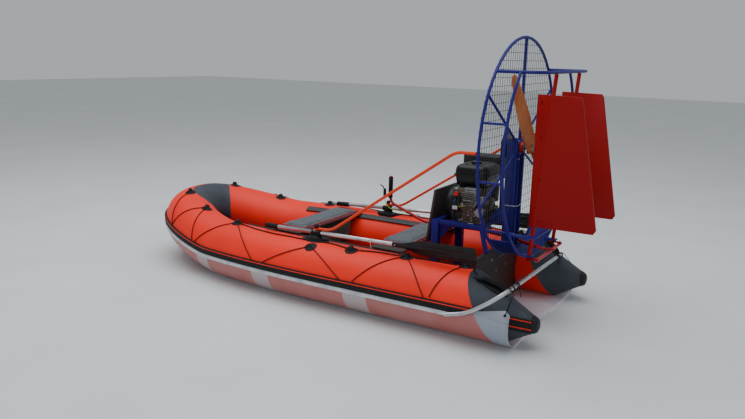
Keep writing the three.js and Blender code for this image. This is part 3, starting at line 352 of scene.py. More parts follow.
blade_wood = wood("blade_wood", "C06A28", "A0561E", (9, 9, 1), 0.4, 0.15, 90.0)
dark_wood = wood("dark_wood", "2C1B16", "160E0B", (1, 6, 6), 0.55, 0.05, 300.0, "z")
deck_board = wood("deck_board", "44484B", "34373A", (1, 7, 1), 0.65, 0.0, 500.0, "z")
print("woods ready")

# %% [markdown]
# The guard sheet is milky plastic, slightly clear, scuffed along its length by ice.
# Grey patches are glued to the tubes behind it, and they show through as paler bands.

# %% Guard sheet plastic
PATCH_BANDS = [(-0.62, -0.44), (0.19, 0.345), (0.82, 0.95)]  # along the hull
TUBE_TOP_Z, SEAM_TOP_X, SEAM_SLOPE = 0.423, -1.260, 0.556  # where orange fabric meets the grey cone


def milky_plastic():
    recipe = Recipe("guard_plastic", roughness=0.40, coat_weight=0.12, coat_roughness=0.3, specular=0.35)
    scuffs = recipe.noise(30.0, 6.0, 0.75, (0.35, 5, 5))
    cloud = recipe.noise(5.0, 4.0)
    x, z = recipe.axis("x"), recipe.axis("z")
    behind, blur = 0.0, 0.004
    for low, high in PATCH_BANDS:
        past_end = x.between(high - blur, high + blur)
        behind = behind + x.between(low - blur, low + blur) * (1 - past_end)
    through = recipe.mix(behind, tone("B2625C"), tone("B6B4B6"))
    # painted shade: the tube seen through the sheet turns darker towards the bottom of the skirt, where it
    # faces down
    through = recipe.mix(z.between(0.21, 0.08) * 0.45, through, tone("A0524C"))
    past_seam = x + (TUBE_TOP_Z - z) * SEAM_SLOPE
    past_seam = past_seam.between(SEAM_TOP_X + 0.006, SEAM_TOP_X - 0.006)
    through = recipe.mix(past_seam, through, tone("8F9BAA"))
    height = z - (x + 1.597) * 0.096  # above the edge of the rub rail behind the sheet
    rail_edge = height.between(0.206, 0.209) * height.between(0.214, 0.211) * (x < -1.44)
    through = recipe.mix(rail_edge * 0.5, through, tone("5A6674"))
    # the flat bottom between the hulls has no tube behind it, so it is milky pale; its near-white is also
    # painted light that makes up for the shade there
    underside = z.between(0.03, 0.008)
    through = recipe.mix(underside, through, tone("F2EAF2"))
    recipe.fill(base_color=recipe.mix(cloud.between(0.3, 0.7) * 0.2, through, tone("B8A8AA")))
    recipe.fill(roughness=0.34 + scuffs.between(0.45, 0.8) * 0.35)
    recipe.bump(scuffs, 0.0005, 0.5)
    return recipe.material


guard_plastic = milky_plastic()
print("guard sheet finish:", len(PATCH_BANDS), "patches show through")

# %% [markdown]
# Every new piece ends the same way: its bmesh becomes a mesh, flat faces stay crisp
# and curved ones turn smooth by the angle between faces, and the piece rides on the
# body that carries it.

# %% Finishing a piece
def finished(bm, name, body, *finishes, crease=32, stands_for=(), slot=None):
    """Make a bmesh into a piece that rides on a body."""
    mesh = bpy.data.meshes.new(name)
    bm.normal_update()
    bm.to_mesh(mesh)
    bm.free()
    for finish in finishes:
        mesh.materials.append(finish)
    mesh.polygons.foreach_set("use_smooth", [True] * len(mesh.polygons))
    mesh.set_sharp_from_angle(angle=math.radians(crease))
    piece = bpy.data.objects.new(name, mesh)
    scene.collection.objects.link(piece)
    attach(piece, body)
    if stands_for:
        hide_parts(*stands_for)
    return piece


def all_of(bm):
    return [*bm.verts, *bm.edges, *bm.faces]


def soften(bm, width, steepest=40, segments=2):
    """Round every edge that is sharper than an angle."""
    sharp = [e for e in bm.edges if e.is_manifold and e.calc_face_angle(0) > math.radians(steepest)]
    bmesh.ops.bevel(bm, geom=sharp, offset=width, offset_type="OFFSET", segments=segments, profile=0.5,
                    affect="EDGES", clamp_overlap=True, material=-1)


print("pieces can be finished")

# %% [markdown]
# Most rigid parts of the frame already have the right shape. Each gets a skin: its
# triangles are welded and flat regions joined, its hard edges are rounded a little so
# that they catch the light, and its curved sides turn smooth. The frame's record says
# which body and which finish slot each part has.

# %% Skins over the frame's rigid parts
def skin(node, body, finish, slot, edge=0.0012, crease=32):
    """A welded, softened copy of a frame node that stands for it."""
    bm = bmesh.new()
    bm.from_mesh(frame["nodes"][node].data)
    bmesh.ops.remove_doubles(bm, verts=bm.verts, dist=2e-5)
    bmesh.ops.dissolve_limit(bm, angle_limit=math.radians(0.6), verts=bm.verts, edges=bm.edges)
    if edge:
        soften(bm, edge)
    return finished(bm, node + "_skin", body, finish, crease=crease, stands_for=(node,), slot=slot)


record = frame["record"]
body_of_node = {node: body for body, nodes in record["behaviour"]["bodies"].items() for node in nodes}
slot_of_node = {row["node"]: row["material_slot"] for row in record["subparts"]}
SKINS = [  # finish, width of the rounded edges, nodes
    (blue_paint, 0, "cage_front_ring cage_rear_ring cage_top_arms cage_low_arms"),
    (blue_paint, 0.0012, "mast"),
    (blue_paint, 0.0016, "engine_frame"),
    (blue_paint, 0.001, "tiller_pivot"),
    (bearing_red, 0.002, "bearing_housing"),
    (red_paint, 0.0015, "rudder_port rudder_starboard"),
    (tie_red, 0.0008, "tie_bar"),
    (tiller_red, 0, "tiller_tube"),
    (orange_paint, 0, "brace_port brace_starboard"),
    (aluminium, 0, "stern_tube oar_shaft_port oar_shaft_starboard"),
    (black_rubber, 0.002, "oar_grip_port oar_grip_starboard oarlock_port oarlock_starboard"),
    (black_plastic, 0.0012, "throttle_lever"),
    (black_rubber, 0.001, "tiller_grip"),
    (steel, 0.0012, "prop_shaft prop_plate"),
    (steel, 0.0015, "crank_pulley"),
    (belt_rubber, 0.001, "drive_belt"),
    (oily_casting, 0.002, "engine_block"),
    (black_plastic, 0.006, "engine_fan_housing"),
    (black_plastic, 0.002, "air_cleaner"),
    (exhaust_steel, 0.002, "muffler"),
    (dark_wood, 0.002, "transom"),
    (deck_board, 0.0015, "floor_deck"),
    (dark_wood, 0.002, "seat_board_front seat_board_rear"),
    (rail_fabric, 0.001, "seat_rail_port seat_rail_starboard"),
    (board_black, 0.003, "backrest_board"),
    (grey_fabric, 0, "hull_bottom"),
]
skins = [skin(node, body_of_node[node], finish, slot_of_node[node], edge)
         for finish, edge, nodes in SKINS for node in nodes.split()]
print("skins:", len(skins))

# %% [markdown]
# The hull follows one line: straight side tubes, then a bow that curves in and rises.
# The same few numbers as the frame's give that line at any fineness, so the skin can
# have far more sections than the frame has.

# %% Hull line
TUBE_R, TUBE_Y, TUBE_Z = 0.209, 0.536, 0.214
CURVE_X, BOW_X, BOW_POWER = -0.296, 1.491, 2.52
RISE_X, RISE, RISE_POWER = 0.800, 0.135, 1.35
BOW_SEAM_X, STERN_X = 0.760, -1.62
CONE_TIP_X, CONE_TIP_Z, CONE_TIP_R, CONE_ROUND = -1.700, 0.154, 0.045, 0.018


def rise(x):
    return RISE * (max(0.0, min(x, BOW_X) - RISE_X) / (BOW_X - RISE_X)) ** RISE_POWER


def axis_point(angle):
    x = CURVE_X + (BOW_X - CURVE_X) * math.sin(angle) ** (2 / BOW_POWER)
    y = TUBE_Y * max(0.0, math.cos(angle)) ** (2 / BOW_POWER)
    return Vector((x, y, TUBE_Z + rise(x)))


def hull_line(stern_x, steps=60, straight=14):
    """Points of the port axis from the stern to the bow, each with its outward direction."""
    step = (CURVE_X - stern_x) / straight
    line = [Vector((stern_x + step * i, TUBE_Y, TUBE_Z)) for i in range(straight)]
    line += [axis_point(math.pi / 2 * i / steps) for i in range(steps + 1)]
    stations = []
    for i, point in enumerate(line):
        run = line[min(i + 1, len(line) - 1)] - line[max(i - 1, 0)]
        if i == len(line) - 1:
            run = Vector((0, -1, 0))
        run.z = 0
        run.normalize()
        stations.append((point, Vector((-run.y, run.x, 0))))
    return stations


print("hull line:", len(hull_line(-1.6)), "stations a side")

# %% [markdown]
# A sweep starts from one ring of edges and extrudes it from station to station. Each
# new vertex is moved to its place on the next ring, so rings never twist, and each
# face knows which part of the outline it came from, which lets one sweep carry stripes.

# %% Sweeping an outline
def sweep(rings, closed=True, finish_of=None):
    """A bmesh skin through rings of equal counts of points."""
    bm = bmesh.new()
    verts = [bm.verts.new(p) for p in rings[0]]
    place = {v: i for i, v in enumerate(verts)}
    pairs = zip(verts, [*verts[1:], verts[0]] if closed else verts[1:])
    edges = [bm.edges.new(pair) for pair in pairs]
    for k, ring in enumerate(rings[1:], 1):
        made = bmesh.ops.extrude_edge_only(bm, edges=edges)["geom"]
        fresh = {}
        for vert in (g for g in made if isinstance(g, bmesh.types.BMVert)):
            old = next(e.other_vert(vert) for e in vert.link_edges if e.other_vert(vert) in place)
            fresh[vert] = place[old]
        for vert, i in fresh.items():
            vert.co = ring[i]
        if finish_of:
            for face in (g for g in made if isinstance(g, bmesh.types.BMFace)):
                i, j = sorted({place.get(v, fresh.get(v)) for v in face.verts})
                face.material_index = finish_of(j if j - i > 1 else i, k)
        edges = [g for g in made if isinstance(g, bmesh.types.BMEdge) and all(v in fresh for v in g.verts)]
        place = fresh
    return bm


def close_ends(bm):
    """Fill the open ends in the first finish, and point the faces outwards."""
    open_edges = [e for e in bm.edges if e.is_boundary]
    for face in bmesh.ops.holes_fill(bm, edges=open_edges, sides=0)["faces"]:
        face.material_index = 0
    bmesh.ops.recalc_face_normals(bm, faces=bm.faces)


def closed_sweep(rings, finish_of=None):
    bm = sweep(rings, finish_of=finish_of)
    close_ends(bm)
    return bm


def mirrored(bm):
    """The same shape on the other side of the centre plane."""
    bmesh.ops.scale(bm, vec=(1, -1, 1), verts=bm.verts)
    bmesh.ops.reverse_faces(bm, faces=bm.faces)


def across(point, outward, out, high):
    return point + outward * out + Vector((0, 0, high))


def round_section(radius=1.0, sides=48):
    angles = [2 * math.pi * i / sides for i in range(sides)]
    return [(radius * math.cos(a), radius * math.sin(a)) for a in angles]


def circle(centre, side, other, radius, sides):
    """Points round a centre, in the plane of two directions."""
    return [centre + side * c + other * d for c, d in round_section(radius, sides)]


def on_side(spot, sign):
    return Vector((spot.x, spot.y * sign, spot.z))


SIDES = (("port", 1), ("starboard", -1))
print("sweep ready")

# %% [markdown]
# The side tubes are one sweep each, cut at the slanted stern seam and at the bow
# seam. Air makes them perfectly round, so they need no relief but the fabric's own.

# %% Side tubes
def cut(bm, point, normal):
    """Remove what lies behind a plane and close the cut."""
    bmesh.ops.bisect_plane(bm, geom=all_of(bm), plane_co=point, plane_no=normal, clear_inner=True)
    close_ends(bm)


STERN_SEAM = (Vector((SEAM_TOP_X, 0, TUBE_Z + TUBE_R)), Vector((1, 0, -SEAM_SLOPE)).normalized())


for side, sign in SIDES:
    bm = closed_sweep([[across(p, o, a, b) for a, b in round_section(TUBE_R)] for p, o in hull_line(STERN_X)])
    cut(bm, *STERN_SEAM)
    cut(bm, Vector((BOW_SEAM_X, 0, 0)), Vector((-1, 0, 0)))
    if sign < 0:
        mirrored(bm)
    finished(bm, f"side_tube_{side}", "boat", orange_fabric,
             stands_for=(f"tube_{side}", f"tube_fore_{side}"), slot="tube_fabric")
print("side tubes done")

# %% [markdown]
# The bow tubes are orange, with a dark grey panel inside the bow where boots scuff
# it. Its upper edge starts on the crest at the stem. On the near side it drops inboard
# towards the panel's end, and on the far side it stays on the crest.

# %% Bow tubes
PANEL = {"port": (0.39, 126, 3), "starboard": (0.262, 83, 1)}  # length, edge's last angle, its bend
PANEL_START = 88  # the upper edge's angle at the stem, from outboard towards the top
for side, sign in SIDES:
    length, edge, bend = PANEL[side]
    line = hull_line(STERN_X, 90)
    away = [0.0]
    for (a, _), (b, _) in zip(line[::-1], line[-2::-1]):
        away.append(away[-1] + (b - a).length)
    away.reverse()
    rings = []
    for (p, o), gone in zip(line, away):
        shift = math.radians(PANEL_START - 90 + (edge - PANEL_START) * min(1.0, gone / length) ** bend)
        angles = [math.tau * i / 48 + shift for i in range(48)]
        rings.append([across(p, o, TUBE_R * math.cos(a), TUBE_R * math.sin(a)) for a in angles])
    bm = closed_sweep(rings, lambda i, k: int(12 <= i < 36 and away[k - 1] < length))
    cut(bm, Vector((BOW_SEAM_X, 0, 0)), Vector((1, 0, 0)))
    if sign < 0:
        mirrored(bm)
    finished(bm, f"bow_tube_{side}", "boat", orange_fabric, grey_fabric,
             stands_for=(f"bow_{side}",), slot="tube_fabric")
print("bow tubes done")

# %% [markdown]
# The stern cones close the tubes: a slanted ring blends into a small round end.

# %% Stern cones
CONE_STEPS = 12


def cone_lines(out, high):
    """The two ends of the straight line down the cone's skin in a direction round it."""
    z = TUBE_Z + TUBE_R * high
    seam = Vector((SEAM_TOP_X - SEAM_SLOPE * (TUBE_Z + TUBE_R - z), TUBE_Y + TUBE_R * out, z))
    tip = (CONE_TIP_X + CONE_ROUND, TUBE_Y + CONE_TIP_R * out, CONE_TIP_Z + CONE_TIP_R * high)
    return seam, Vector(tip)


def tip_ring(angle, radius, depth, sign=1, sides=48):
    """A section of the rounded tip, so many degrees along from its rim."""
    x = CONE_TIP_X + CONE_ROUND - depth * math.sin(math.radians(angle))
    return [Vector((x, (TUBE_Y + c) * sign, CONE_TIP_Z + d))
            for c, d in round_section(radius * math.cos(math.radians(angle)), sides)]


for side, sign in SIDES:
    lines = [cone_lines(out, high) for out, high in round_section()]
    rings = [[seam.lerp(tip, step / CONE_STEPS) for seam, tip in lines] for step in range(CONE_STEPS + 1)]
    rings += [tip_ring(angle, CONE_TIP_R, CONE_ROUND) for angle in (25, 50, 72)]
    bm = closed_sweep(rings)
    if sign < 0:
        mirrored(bm)
    finished(bm, f"stern_cone_{side}", "boat", grey_fabric, stands_for=(f"cone_{side}",), slot="grey_fabric")
print("stern cones done")

# %% [markdown]
# The rub rail is a black extrusion with an orange line near its top. Its outline is
# swept along the hull and down the cone, and the faces of one edge take orange. On
# the near side a second line shows below it aft of the guard sheet, which hides it
# elsewhere. The far rail ends on its cone.

# %% Rub rails
def rail_line():
    """Surface points and outward directions from the cone tip to the bow."""
    seam_x = SEAM_TOP_X - SEAM_SLOPE * TUBE_R
    seam = Vector((seam_x, TUBE_Y + TUBE_R, TUBE_Z))
    tip = Vector((CONE_TIP_X + 0.004, TUBE_Y + CONE_TIP_R, CONE_TIP_Z))
    run = (seam - tip).normalized()
    cone_out = Vector((-run.y, run.x, 0)).normalized()
    stations = [(tip.lerp(seam, i / 8) - cone_out * TUBE_R, cone_out) for i in range(8)]
    between = (cone_out + Vector((0, 1, 0))).normalized()
    stations.append((seam - between * TUBE_R, between))
    return stations + hull_line(seam_x + 0.05)


def rail(outline, stations, end):
    """An extrusion whose outline rows say: outwards from the tube's axis, upwards, orange."""
    rings = [[across(p, o, a, b) for a, b, _ in outline] for p, o in stations]
    bm = closed_sweep(rings, lambda i, k: outline[i][2])
    cut(bm, Vector((end, 0, 0)), Vector((1, 0, 0)))
    return bm


RAIL_OUTLINE = [
    (0.2075, -0.0080, 0), (0.2185, -0.0070, 0), (0.2208, 0.0000, 0), (0.2208, 0.0095, 0),
    (0.2196, 0.0108, 0), (0.2196, 0.0128, 0), (0.2208, 0.0140, 0), (0.2208, 0.0270, 0),
    (0.2198, 0.0285, 1), (0.2212, 0.0295, 1), (0.2212, 0.0335, 1), (0.2198, 0.0345, 0),
    (0.2180, 0.0410, 0), (0.2045, 0.0420, 0),
]
FOOT_OUTLINE = [
    (0.2060, -0.0420, 0), (0.2120, -0.0410, 0), (0.2130, -0.0215, 1), (0.2142, -0.0205, 1),
    (0.2142, -0.0150, 1), (0.2130, -0.0140, 0), (0.2130, -0.0085, 0), (0.2060, -0.0085, 0),
]
RAIL_END = {"port": -1.671, "starboard": -1.450}  # a cap covers the port end
FOOT_START = -1.552
for side, sign in SIDES:
    bm = rail(RAIL_OUTLINE, rail_line(), RAIL_END[side])
    if sign < 0:
        mirrored(bm)
    finished(bm, f"rail_{side}", "boat", black_rubber, orange_fabric,
             stands_for=(f"rub_rail_{side}",), slot="rail_rubber")
bm = rail(FOOT_OUTLINE, rail_line()[:9], RAIL_END["port"])
cut(bm, Vector((FOOT_START, 0, 0)), Vector((-1, 0, 0)))
finished(bm, "rail_foot_port", "boat", black_rubber, orange_fabric, slot="rail_rubber")
print("rub rails done")

# %% [markdown]
# The guard sheet is one skin: down the outside of one tube, flat across the bottom,
# and up the other. Its sections are open, so the sweep is open too, and a Solidify
# modifier gives it its real thickness. Aft of the aluminium strip nothing holds its
# edge, so there it stands off the tube and climbs over the rub rail.

# %% Guard sheet
SHEET_END, FREE_FROM, FREE_LENGTH = -1.622, -1.20, 0.36
SHEET_R = TUBE_R + 0.0050
EDGE_ANGLE, EDGE_CLIMB, BOTTOM_ANGLE = -2.4, 21, -90  # degrees round the tube
STAND_OFF = 0.0120


def sheet_ring(point, outward):
    """A section from the port edge under the hull to the starboard edge."""
    free = max(0.0, (FREE_FROM - point.x) / FREE_LENGTH)
    sides = []
    for loose in (free, free * 0.1):
        edge, skirt = EDGE_ANGLE + EDGE_CLIMB * loose, []
        for step in range(13):
            angle = math.radians(edge + (BOTTOM_ANGLE - edge) * step / 12)
            reach = SHEET_R + STAND_OFF * min(1.0, loose * 1.6) * max(0.0, 1 - step / 9) ** 0.7
            skirt.append(across(point, outward, reach * math.cos(angle), reach * math.sin(angle)))
        skirt += [Vector((point.x, point.y * (1 - step / 4), point.z - SHEET_R)) for step in (1, 2, 3)]
        sides.append(skirt)
    near, far = sides
    middle = [Vector((point.x, 0, point.z - SHEET_R))]
    return near + middle + [Vector((p.x, -p.y, p.z)) for p in reversed(far)]


bm = sweep([sheet_ring(p, o) for p, o in hull_line(SHEET_END, 60, 40)], closed=False)
bmesh.ops.remove_doubles(bm, verts=bm.verts, dist=0.0006)
CORNER_AT, END_WAY = (-1.589, 0, 0.262), (-0.998, 0, -0.065)
TRIMS = [  # side, a point of the cut, what is thrown away lies this way
    (1, CORNER_AT, (-0.62, 0, 0.78)), (1, CORNER_AT, END_WAY),
    (-1, (-1.420, 0, 0.200), (-0.60, 0, 0.80)), (-1, CORNER_AT, END_WAY),
]
for sign, point, thrown in TRIMS:
    own = [f for f in bm.faces if f.calc_center_median().y * sign > 0]
    parts = {g for f in own for g in (f, *f.edges, *f.verts)}
    bmesh.ops.bisect_plane(bm, geom=list(parts), plane_co=point, plane_no=thrown, clear_outer=True)
bmesh.ops.recalc_face_normals(bm, faces=bm.faces)
if sum((f.normal.z for f in bm.faces if abs(f.calc_center_median().y) < 0.2)) > 0:
    bmesh.ops.reverse_faces(bm, faces=bm.faces)
guard = finished(bm, "guard_sheet", "boat", guard_plastic,
                 stands_for=("ice_guard_sheet",), slot="guard_plastic")
wall = guard.modifiers.new("wall", "SOLIDIFY")
wall.thickness, wall.offset = 0.0045, -1
print("guard sheet faces:", len(guard.data.polygons))

# %% [markdown]
# An aluminium strip clamps the sheet's upper edge to each tube, from the stern to the
# stem. It is one flat section with rounded edges, swept along the same line as the hull.

# %% Aluminium strips over the sheet's edge
STRIP_START = -1.220
STRIP_OUTLINE = [(0.2125, -0.0090), (0.2185, -0.0096), (0.2192, -0.0110),
                 (0.2192, -0.0345), (0.2185, -0.0362), (0.2105, -0.0368)]
for side, sign in SIDES:
    bm = closed_sweep([[across(p, o, a, b) for a, b in STRIP_OUTLINE] for p, o in hull_line(STRIP_START)])
    if sign < 0:
        mirrored(bm)
    finished(bm, f"strip_{side}", "boat", aluminium, stands_for=(f"guard_strip_{side}",), slot="aluminium")
print("strips done")

# %% [markdown]
# The propeller is carved from laminated wood. Its sections turn and thin towards the
# tip, so each blade is a sweep through eight of them, and a turned boss joins the two.

# %% Propeller
PROP_X, PROP_Z, PROP_R = -1.400, 1.132, 0.640
BLADE_SECTIONS = [  # radius, chord, thickness, pitch in degrees
    (0.030, 0.076, 0.034, 38), (0.110, 0.084, 0.024, 32), (0.240, 0.104, 0.018, 24),
    (0.380, 0.102, 0.014, 18), (0.520, 0.084, 0.010, 14), (0.600, 0.062, 0.007, 12),
    (0.632, 0.040, 0.006, 11), (0.640, 0.022, 0.004, 11),
]


def blade(turn):
    """One blade, turned about the shaft by so many degrees."""
    rings = []
    for radius, chord, thick, pitch in BLADE_SECTIONS:
        c, s = math.cos(math.radians(pitch)), math.sin(math.radians(pitch))
        ring = []
        for x, y in round_section(1.0, 16):
            along, high = x * chord / 2, y * thick / 2 * (1.0 - 0.35 * x)
            ring.append(Vector((along * s + high * c, along * c - high * s, radius)))
        rings.append(ring)
    bm = closed_sweep(rings)
    turned = Matrix.Rotation(math.radians(turn), 3, "X")
    bmesh.ops.rotate(bm, verts=bm.verts, cent=(0, 0, 0), matrix=turned)
    bmesh.ops.translate(bm, verts=bm.verts, vec=(PROP_X, 0, PROP_Z))
    return bm


def into(bm, other):
    """Add another bmesh to this one."""
    mesh = bpy.data.meshes.new("scratch")
    other.to_mesh(mesh)
    other.free()
    bm.from_mesh(mesh)
    bpy.data.meshes.remove(mesh)


def rod(start, end, radius, sides=16, far_radius=None):
    """A round bar from one point to another."""
    bm = bmesh.new()
    start, end = Vector(start), Vector(end)
    run = end - start
    far = radius if far_radius is None else far_radius
    bmesh.ops.create_cone(bm, cap_ends=True, segments=sides, radius1=radius, radius2=far,
                          depth=run.length)
    turn = run.to_track_quat("Z", "Y").to_matrix().to_4x4()
    bmesh.ops.transform(bm, matrix=Matrix.Translation((start + end) / 2) @ turn, verts=bm.verts)
    return bm


bm = blade(-43)
into(bm, blade(137))
boss = rod((PROP_X + 0.016, 0, PROP_Z), (PROP_X - 0.016, 0, PROP_Z), 0.038, 32)
soften(boss, 0.002)
into(bm, boss)
finished(bm, "carved_blades", "propeller", blade_wood, stands_for=("propeller_blades",), slot="blade_wood")
print("propeller span", round(2 * PROP_R, 2), "m")

# %% [markdown]
# The cage is closed in front by welded wire: uprights about 38 mm apart and rows
# 50 mm apart, each trimmed to the ring and kept clear of the mast.

# %% Guard mesh
RING_R, MESH_X, WIRE_R = 0.697, -1.3047, 0.0014
MAST_HALF, MAST_TOP = 0.074, 1.184
UPRIGHT_PITCH, ROW_PITCH = 0.0385, 0.0500
ROW_X = MESH_X + 0.0024  # the rows are welded on the uprights' front


def wire_spans(offset, upright):
    """The visible lengths of one wire: outside the mast, inside the ring."""
    reach = math.sqrt(max(0.0, (RING_R - 0.001) ** 2 - offset ** 2))
    if upright:
        low, high = PROP_Z - reach, PROP_Z + reach
        return [(max(low, MAST_TOP) if abs(offset) < MAST_HALF else low, high)]
    if PROP_Z + offset < MAST_TOP:
        return [(-reach, -MAST_HALF), (MAST_HALF, reach)] if reach > MAST_HALF else []
    return [(-reach, reach)]


bm = bmesh.new()
wires = 0
for upright, pitch in ((True, UPRIGHT_PITCH), (False, ROW_PITCH)):
    for i in range(-18, 19):
        offset = i * pitch
        if abs(offset) > RING_R - 0.01:
            continue
        for low, high in wire_spans(offset, upright):
            if upright:
                ends = (MESH_X, offset, low), (MESH_X, offset, high)
            else:
                ends = (ROW_X, low, PROP_Z + offset), (ROW_X, high, PROP_Z + offset)
            into(bm, rod(*ends, WIRE_R, 6))
            wires += 1
finished(bm, "guard_wires", "boat", wire_steel, stands_for=("cage_mesh",), slot="wire")
print("mesh wires:", wires)

# %% [markdown]
# Small parts need a few shapes again and again: a rounded block, a tube along a path
# and a bolt with its washer. Each of these returns a bmesh, so that many can be
# gathered into one piece.

# %% Small shapes
def block(low, high, edge=0.002, segments=2):
    """A box between two corners with rounded edges."""
    bm = bmesh.new()
    bmesh.ops.create_cube(bm, size=1.0)
    low, high = Vector(low), Vector(high)
    bmesh.ops.scale(bm, vec=high - low, verts=bm.verts)
    bmesh.ops.translate(bm, vec=(low + high) / 2, verts=bm.verts)
    if edge:
        soften(bm, edge, segments=segments)
    return bm


def smooth(points, steps=8):
    """A Catmull-Rom line through points."""
    points = [Vector(p) for p in points]
    padded = [points[0] * 2 - points[1], *points, points[-1] * 2 - points[-2]]
    line = []
    for a, b, c, d in zip(padded, padded[1:], padded[2:], padded[3:]):
        for i in range(steps):
            t = i / steps
            line.append(0.5 * (2 * b + (c - a) * t + (2 * a - 5 * b + 4 * c - d) * t * t
                               + (3 * b - a - 3 * c + d) * t ** 3))
    return line + [points[-1]]


def tube_along(points, radius, sides=12):
    """A capped tube whose rings turn as little as they can from one to the next."""
    points = [Vector(p) for p in points]
    side, rings = None, []
    for i, point in enumerate(points):
        run = (points[min(i + 1, len(points) - 1)] - points[max(i - 1, 0)]).normalized()
        side = run.orthogonal() if side is None else side - run * side.dot(run)
        side.normalize()
        rings.append(circle(point, side, run.cross(side), radius, sides))
    return closed_sweep(rings)


def bolt(at, out, size=0.006):
    """A hexagon head on a washer, on a face whose outward direction is given."""
    at, out = Vector(at), Vector(out).normalized()
    bm = rod(at, at + out * size * 0.35, size * 1.25, 20)
    into(bm, rod(at + out * size * 0.3, at + out * size * 1.2, size * 0.9, 6))
    into(bm, rod(at + out * size * 1.15, at + out * size * 1.5, size * 0.45, 10))
    return bm


def gathered(shapes):
    """Many bmeshes in one."""
    bm = bmesh.new()
    for shape in shapes:
        into(bm, shape)
    return bm


def both_sides(shapes_of):
    """A piece on each side from a function of the sign."""
    return gathered([shape for _, sign in SIDES for shape in shapes_of(sign)])


print("small shapes ready")

# %% [markdown]
# A rope is a fixed length of something limp that lies on what is under it. Here it is
# one curve of short straight runs with a round section, and its declared length is
# the length of that line.

# %% Cords
cord_lengths = {}


def cord(name, points, diameter, finish, body="boat"):
    """A rope or wire through points that starts at the first and is as long as the line."""
    points = [Vector(p) for p in points]
    curve = bpy.data.curves.new(name, "CURVE")
    curve.dimensions = "3D"
    curve.bevel_depth = diameter / 2
    curve.bevel_resolution = 3
    curve.use_fill_caps = True
    spline = curve.splines.new("POLY")
    spline.points.add(len(points) - 1)
    for target, point in zip(spline.points, points):
        target.co = (*point, 1)
    curve.materials.append(finish)
    piece = bpy.data.objects.new(name, curve)
    scene.collection.objects.link(piece)
    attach(piece, body)
    length = sum((b - a).length for a, b in zip(points, points[1:]))
    cord_lengths[name] = round(length, 3)


print("cords ready")

# %% [markdown]
# The ropes lie on the tubes. A place on a tube is a distance along its axis and an
# angle round it, and a taut rope is straight in those two numbers, which is how a
# string lies on a cylinder.

# %% Places on a tube
FINE = hull_line(STERN_X, 160, 60)
RUN = [0.0]
for (a, _), (b, _) in zip(FINE, FINE[1:]):
    RUN.append(RUN[-1] + (b - a).length)


def on_tube(distance, angle, lift=0.0, sign=1):
    """A point on or above a tube's skin; the angle is from outboard towards the top."""
    i = max(k for k in range(len(RUN) - 1) if k == 0 or RUN[k] <= distance)
    share = (distance - RUN[i]) / (RUN[i + 1] - RUN[i])
    (point, outward), (far_point, far_outward) = FINE[i], FINE[i + 1]
    outward = outward.lerp(far_outward, share).normalized()
    out, high = (TUBE_R + lift) * math.cos(angle), (TUBE_R + lift) * math.sin(angle)
    return on_side(across(point.lerp(far_point, share), outward, out, high), sign)


def on_cone(share, angle, lift=0.0, sign=1):
    """A point on or above a cone's skin, a share of the way to its tip."""
    out, high = math.cos(angle), math.sin(angle)
    seam, tip = cone_lines(out, high)
    return on_side(seam.lerp(tip, share) + Vector((-0.35, out, high)).normalized() * lift, sign)


def placed(x, y, z):
    """The distance and angle of the place on the port tube that is nearest a point."""
    i = min(range(len(FINE)), key=lambda k: math.hypot(FINE[k][0].x - x, FINE[k][0].y - y))
    point, outward = FINE[i]
    run = Vector((outward.y, -outward.x, 0))
    offset = Vector((x, y, z)) - point
    return RUN[i] + offset.dot(run), math.atan2(offset.z, offset.dot(outward))


EYES = [placed(*p) for p in (
    (1.412, 0.232, 0.535), (1.089, 0.378, 0.464), (0.677, 0.485, 0.423), (-0.104, 0.627, 0.401),
    (-0.408, 0.587, 0.416), (-0.800, 0.540, 0.423), (-1.203, 0.505, 0.421))]
FEET = [placed(*p) for p in (
    (1.323, 0.526, 0.328), (0.997, 0.640, 0.247), (0.336, 0.725, 0.254), (0.239, 0.730, 0.256),
    (-0.439, 0.743, 0.238), (-0.512, 0.738, 0.260), (-1.029, 0.740, 0.259), (-1.068, 0.737, 0.266))]
FAR_SHIFT = (0.055, 0.130, 0.170, 0.170, 0.170, 0.120, 0.0)


def eyes_on(sign):
    """The eyes of a side: the far ones sit a little further aft, as the photo shows."""
    return EYES if sign > 0 else [(d - shift, a) for (d, a), shift in zip(EYES, FAR_SHIFT)]


print("eyes", [round(d, 2) for d, _ in EYES])

# %% [markdown]
# Each eye is a rubber patch glued to the tube, moulded with a hump that the rope goes
# through. The fourth one is a flat oval. Its outline is wrapped on the tube by the
# same distance and angle, so it lies on the curve all over.

# %% Glued eyes
PATCH_TOP = 0.0042
HUMP = [(0.52, 0.12), (0.42, 0.45), (0.33, 0.85), (0.22, 1.0), (0.08, 1.04), (0.01, 1.04)]


def patch(at, half_long, half_wide, hump, sign):
    """A wrapped oval with a thin rim, and a hump in the middle where there is one."""
    profile = [(1.0, 0.0002), (0.985, 0.0022), (0.93, 0.0034), (0.62, 0.0036)]
    profile += [(share, PATCH_TOP + hump * part) for share, part in HUMP]
    rings = []
    for share, lift in profile:
        long, wide = share * half_long, share * half_wide / TUBE_R
        rings.append([on_tube(at[0] + c * long, at[1] + d * wide, lift, sign)
                      for c, d in round_section(1.0, 36)])
    return closed_sweep(rings)


for side, sign in SIDES:
    shapes = []
    for i, eye in enumerate(eyes_on(sign)):
        flat = i == 3
        shapes.append(patch(eye, 0.044 if flat else 0.047, 0.043, 0.004 if flat else 0.028, sign))
        if not flat:
            middle = [on_tube(eye[0] + step * 0.014, eye[1], 0.0225, sign) for step in (-1, 0, 1)]
            shapes.append(rod(middle[0], middle[2], 0.0105, 16))
    finished(gathered(shapes), f"rope_eyes_{side}", "boat", black_rubber, slot="rail_rubber", crease=50)
print("eyes a side:", len(EYES))

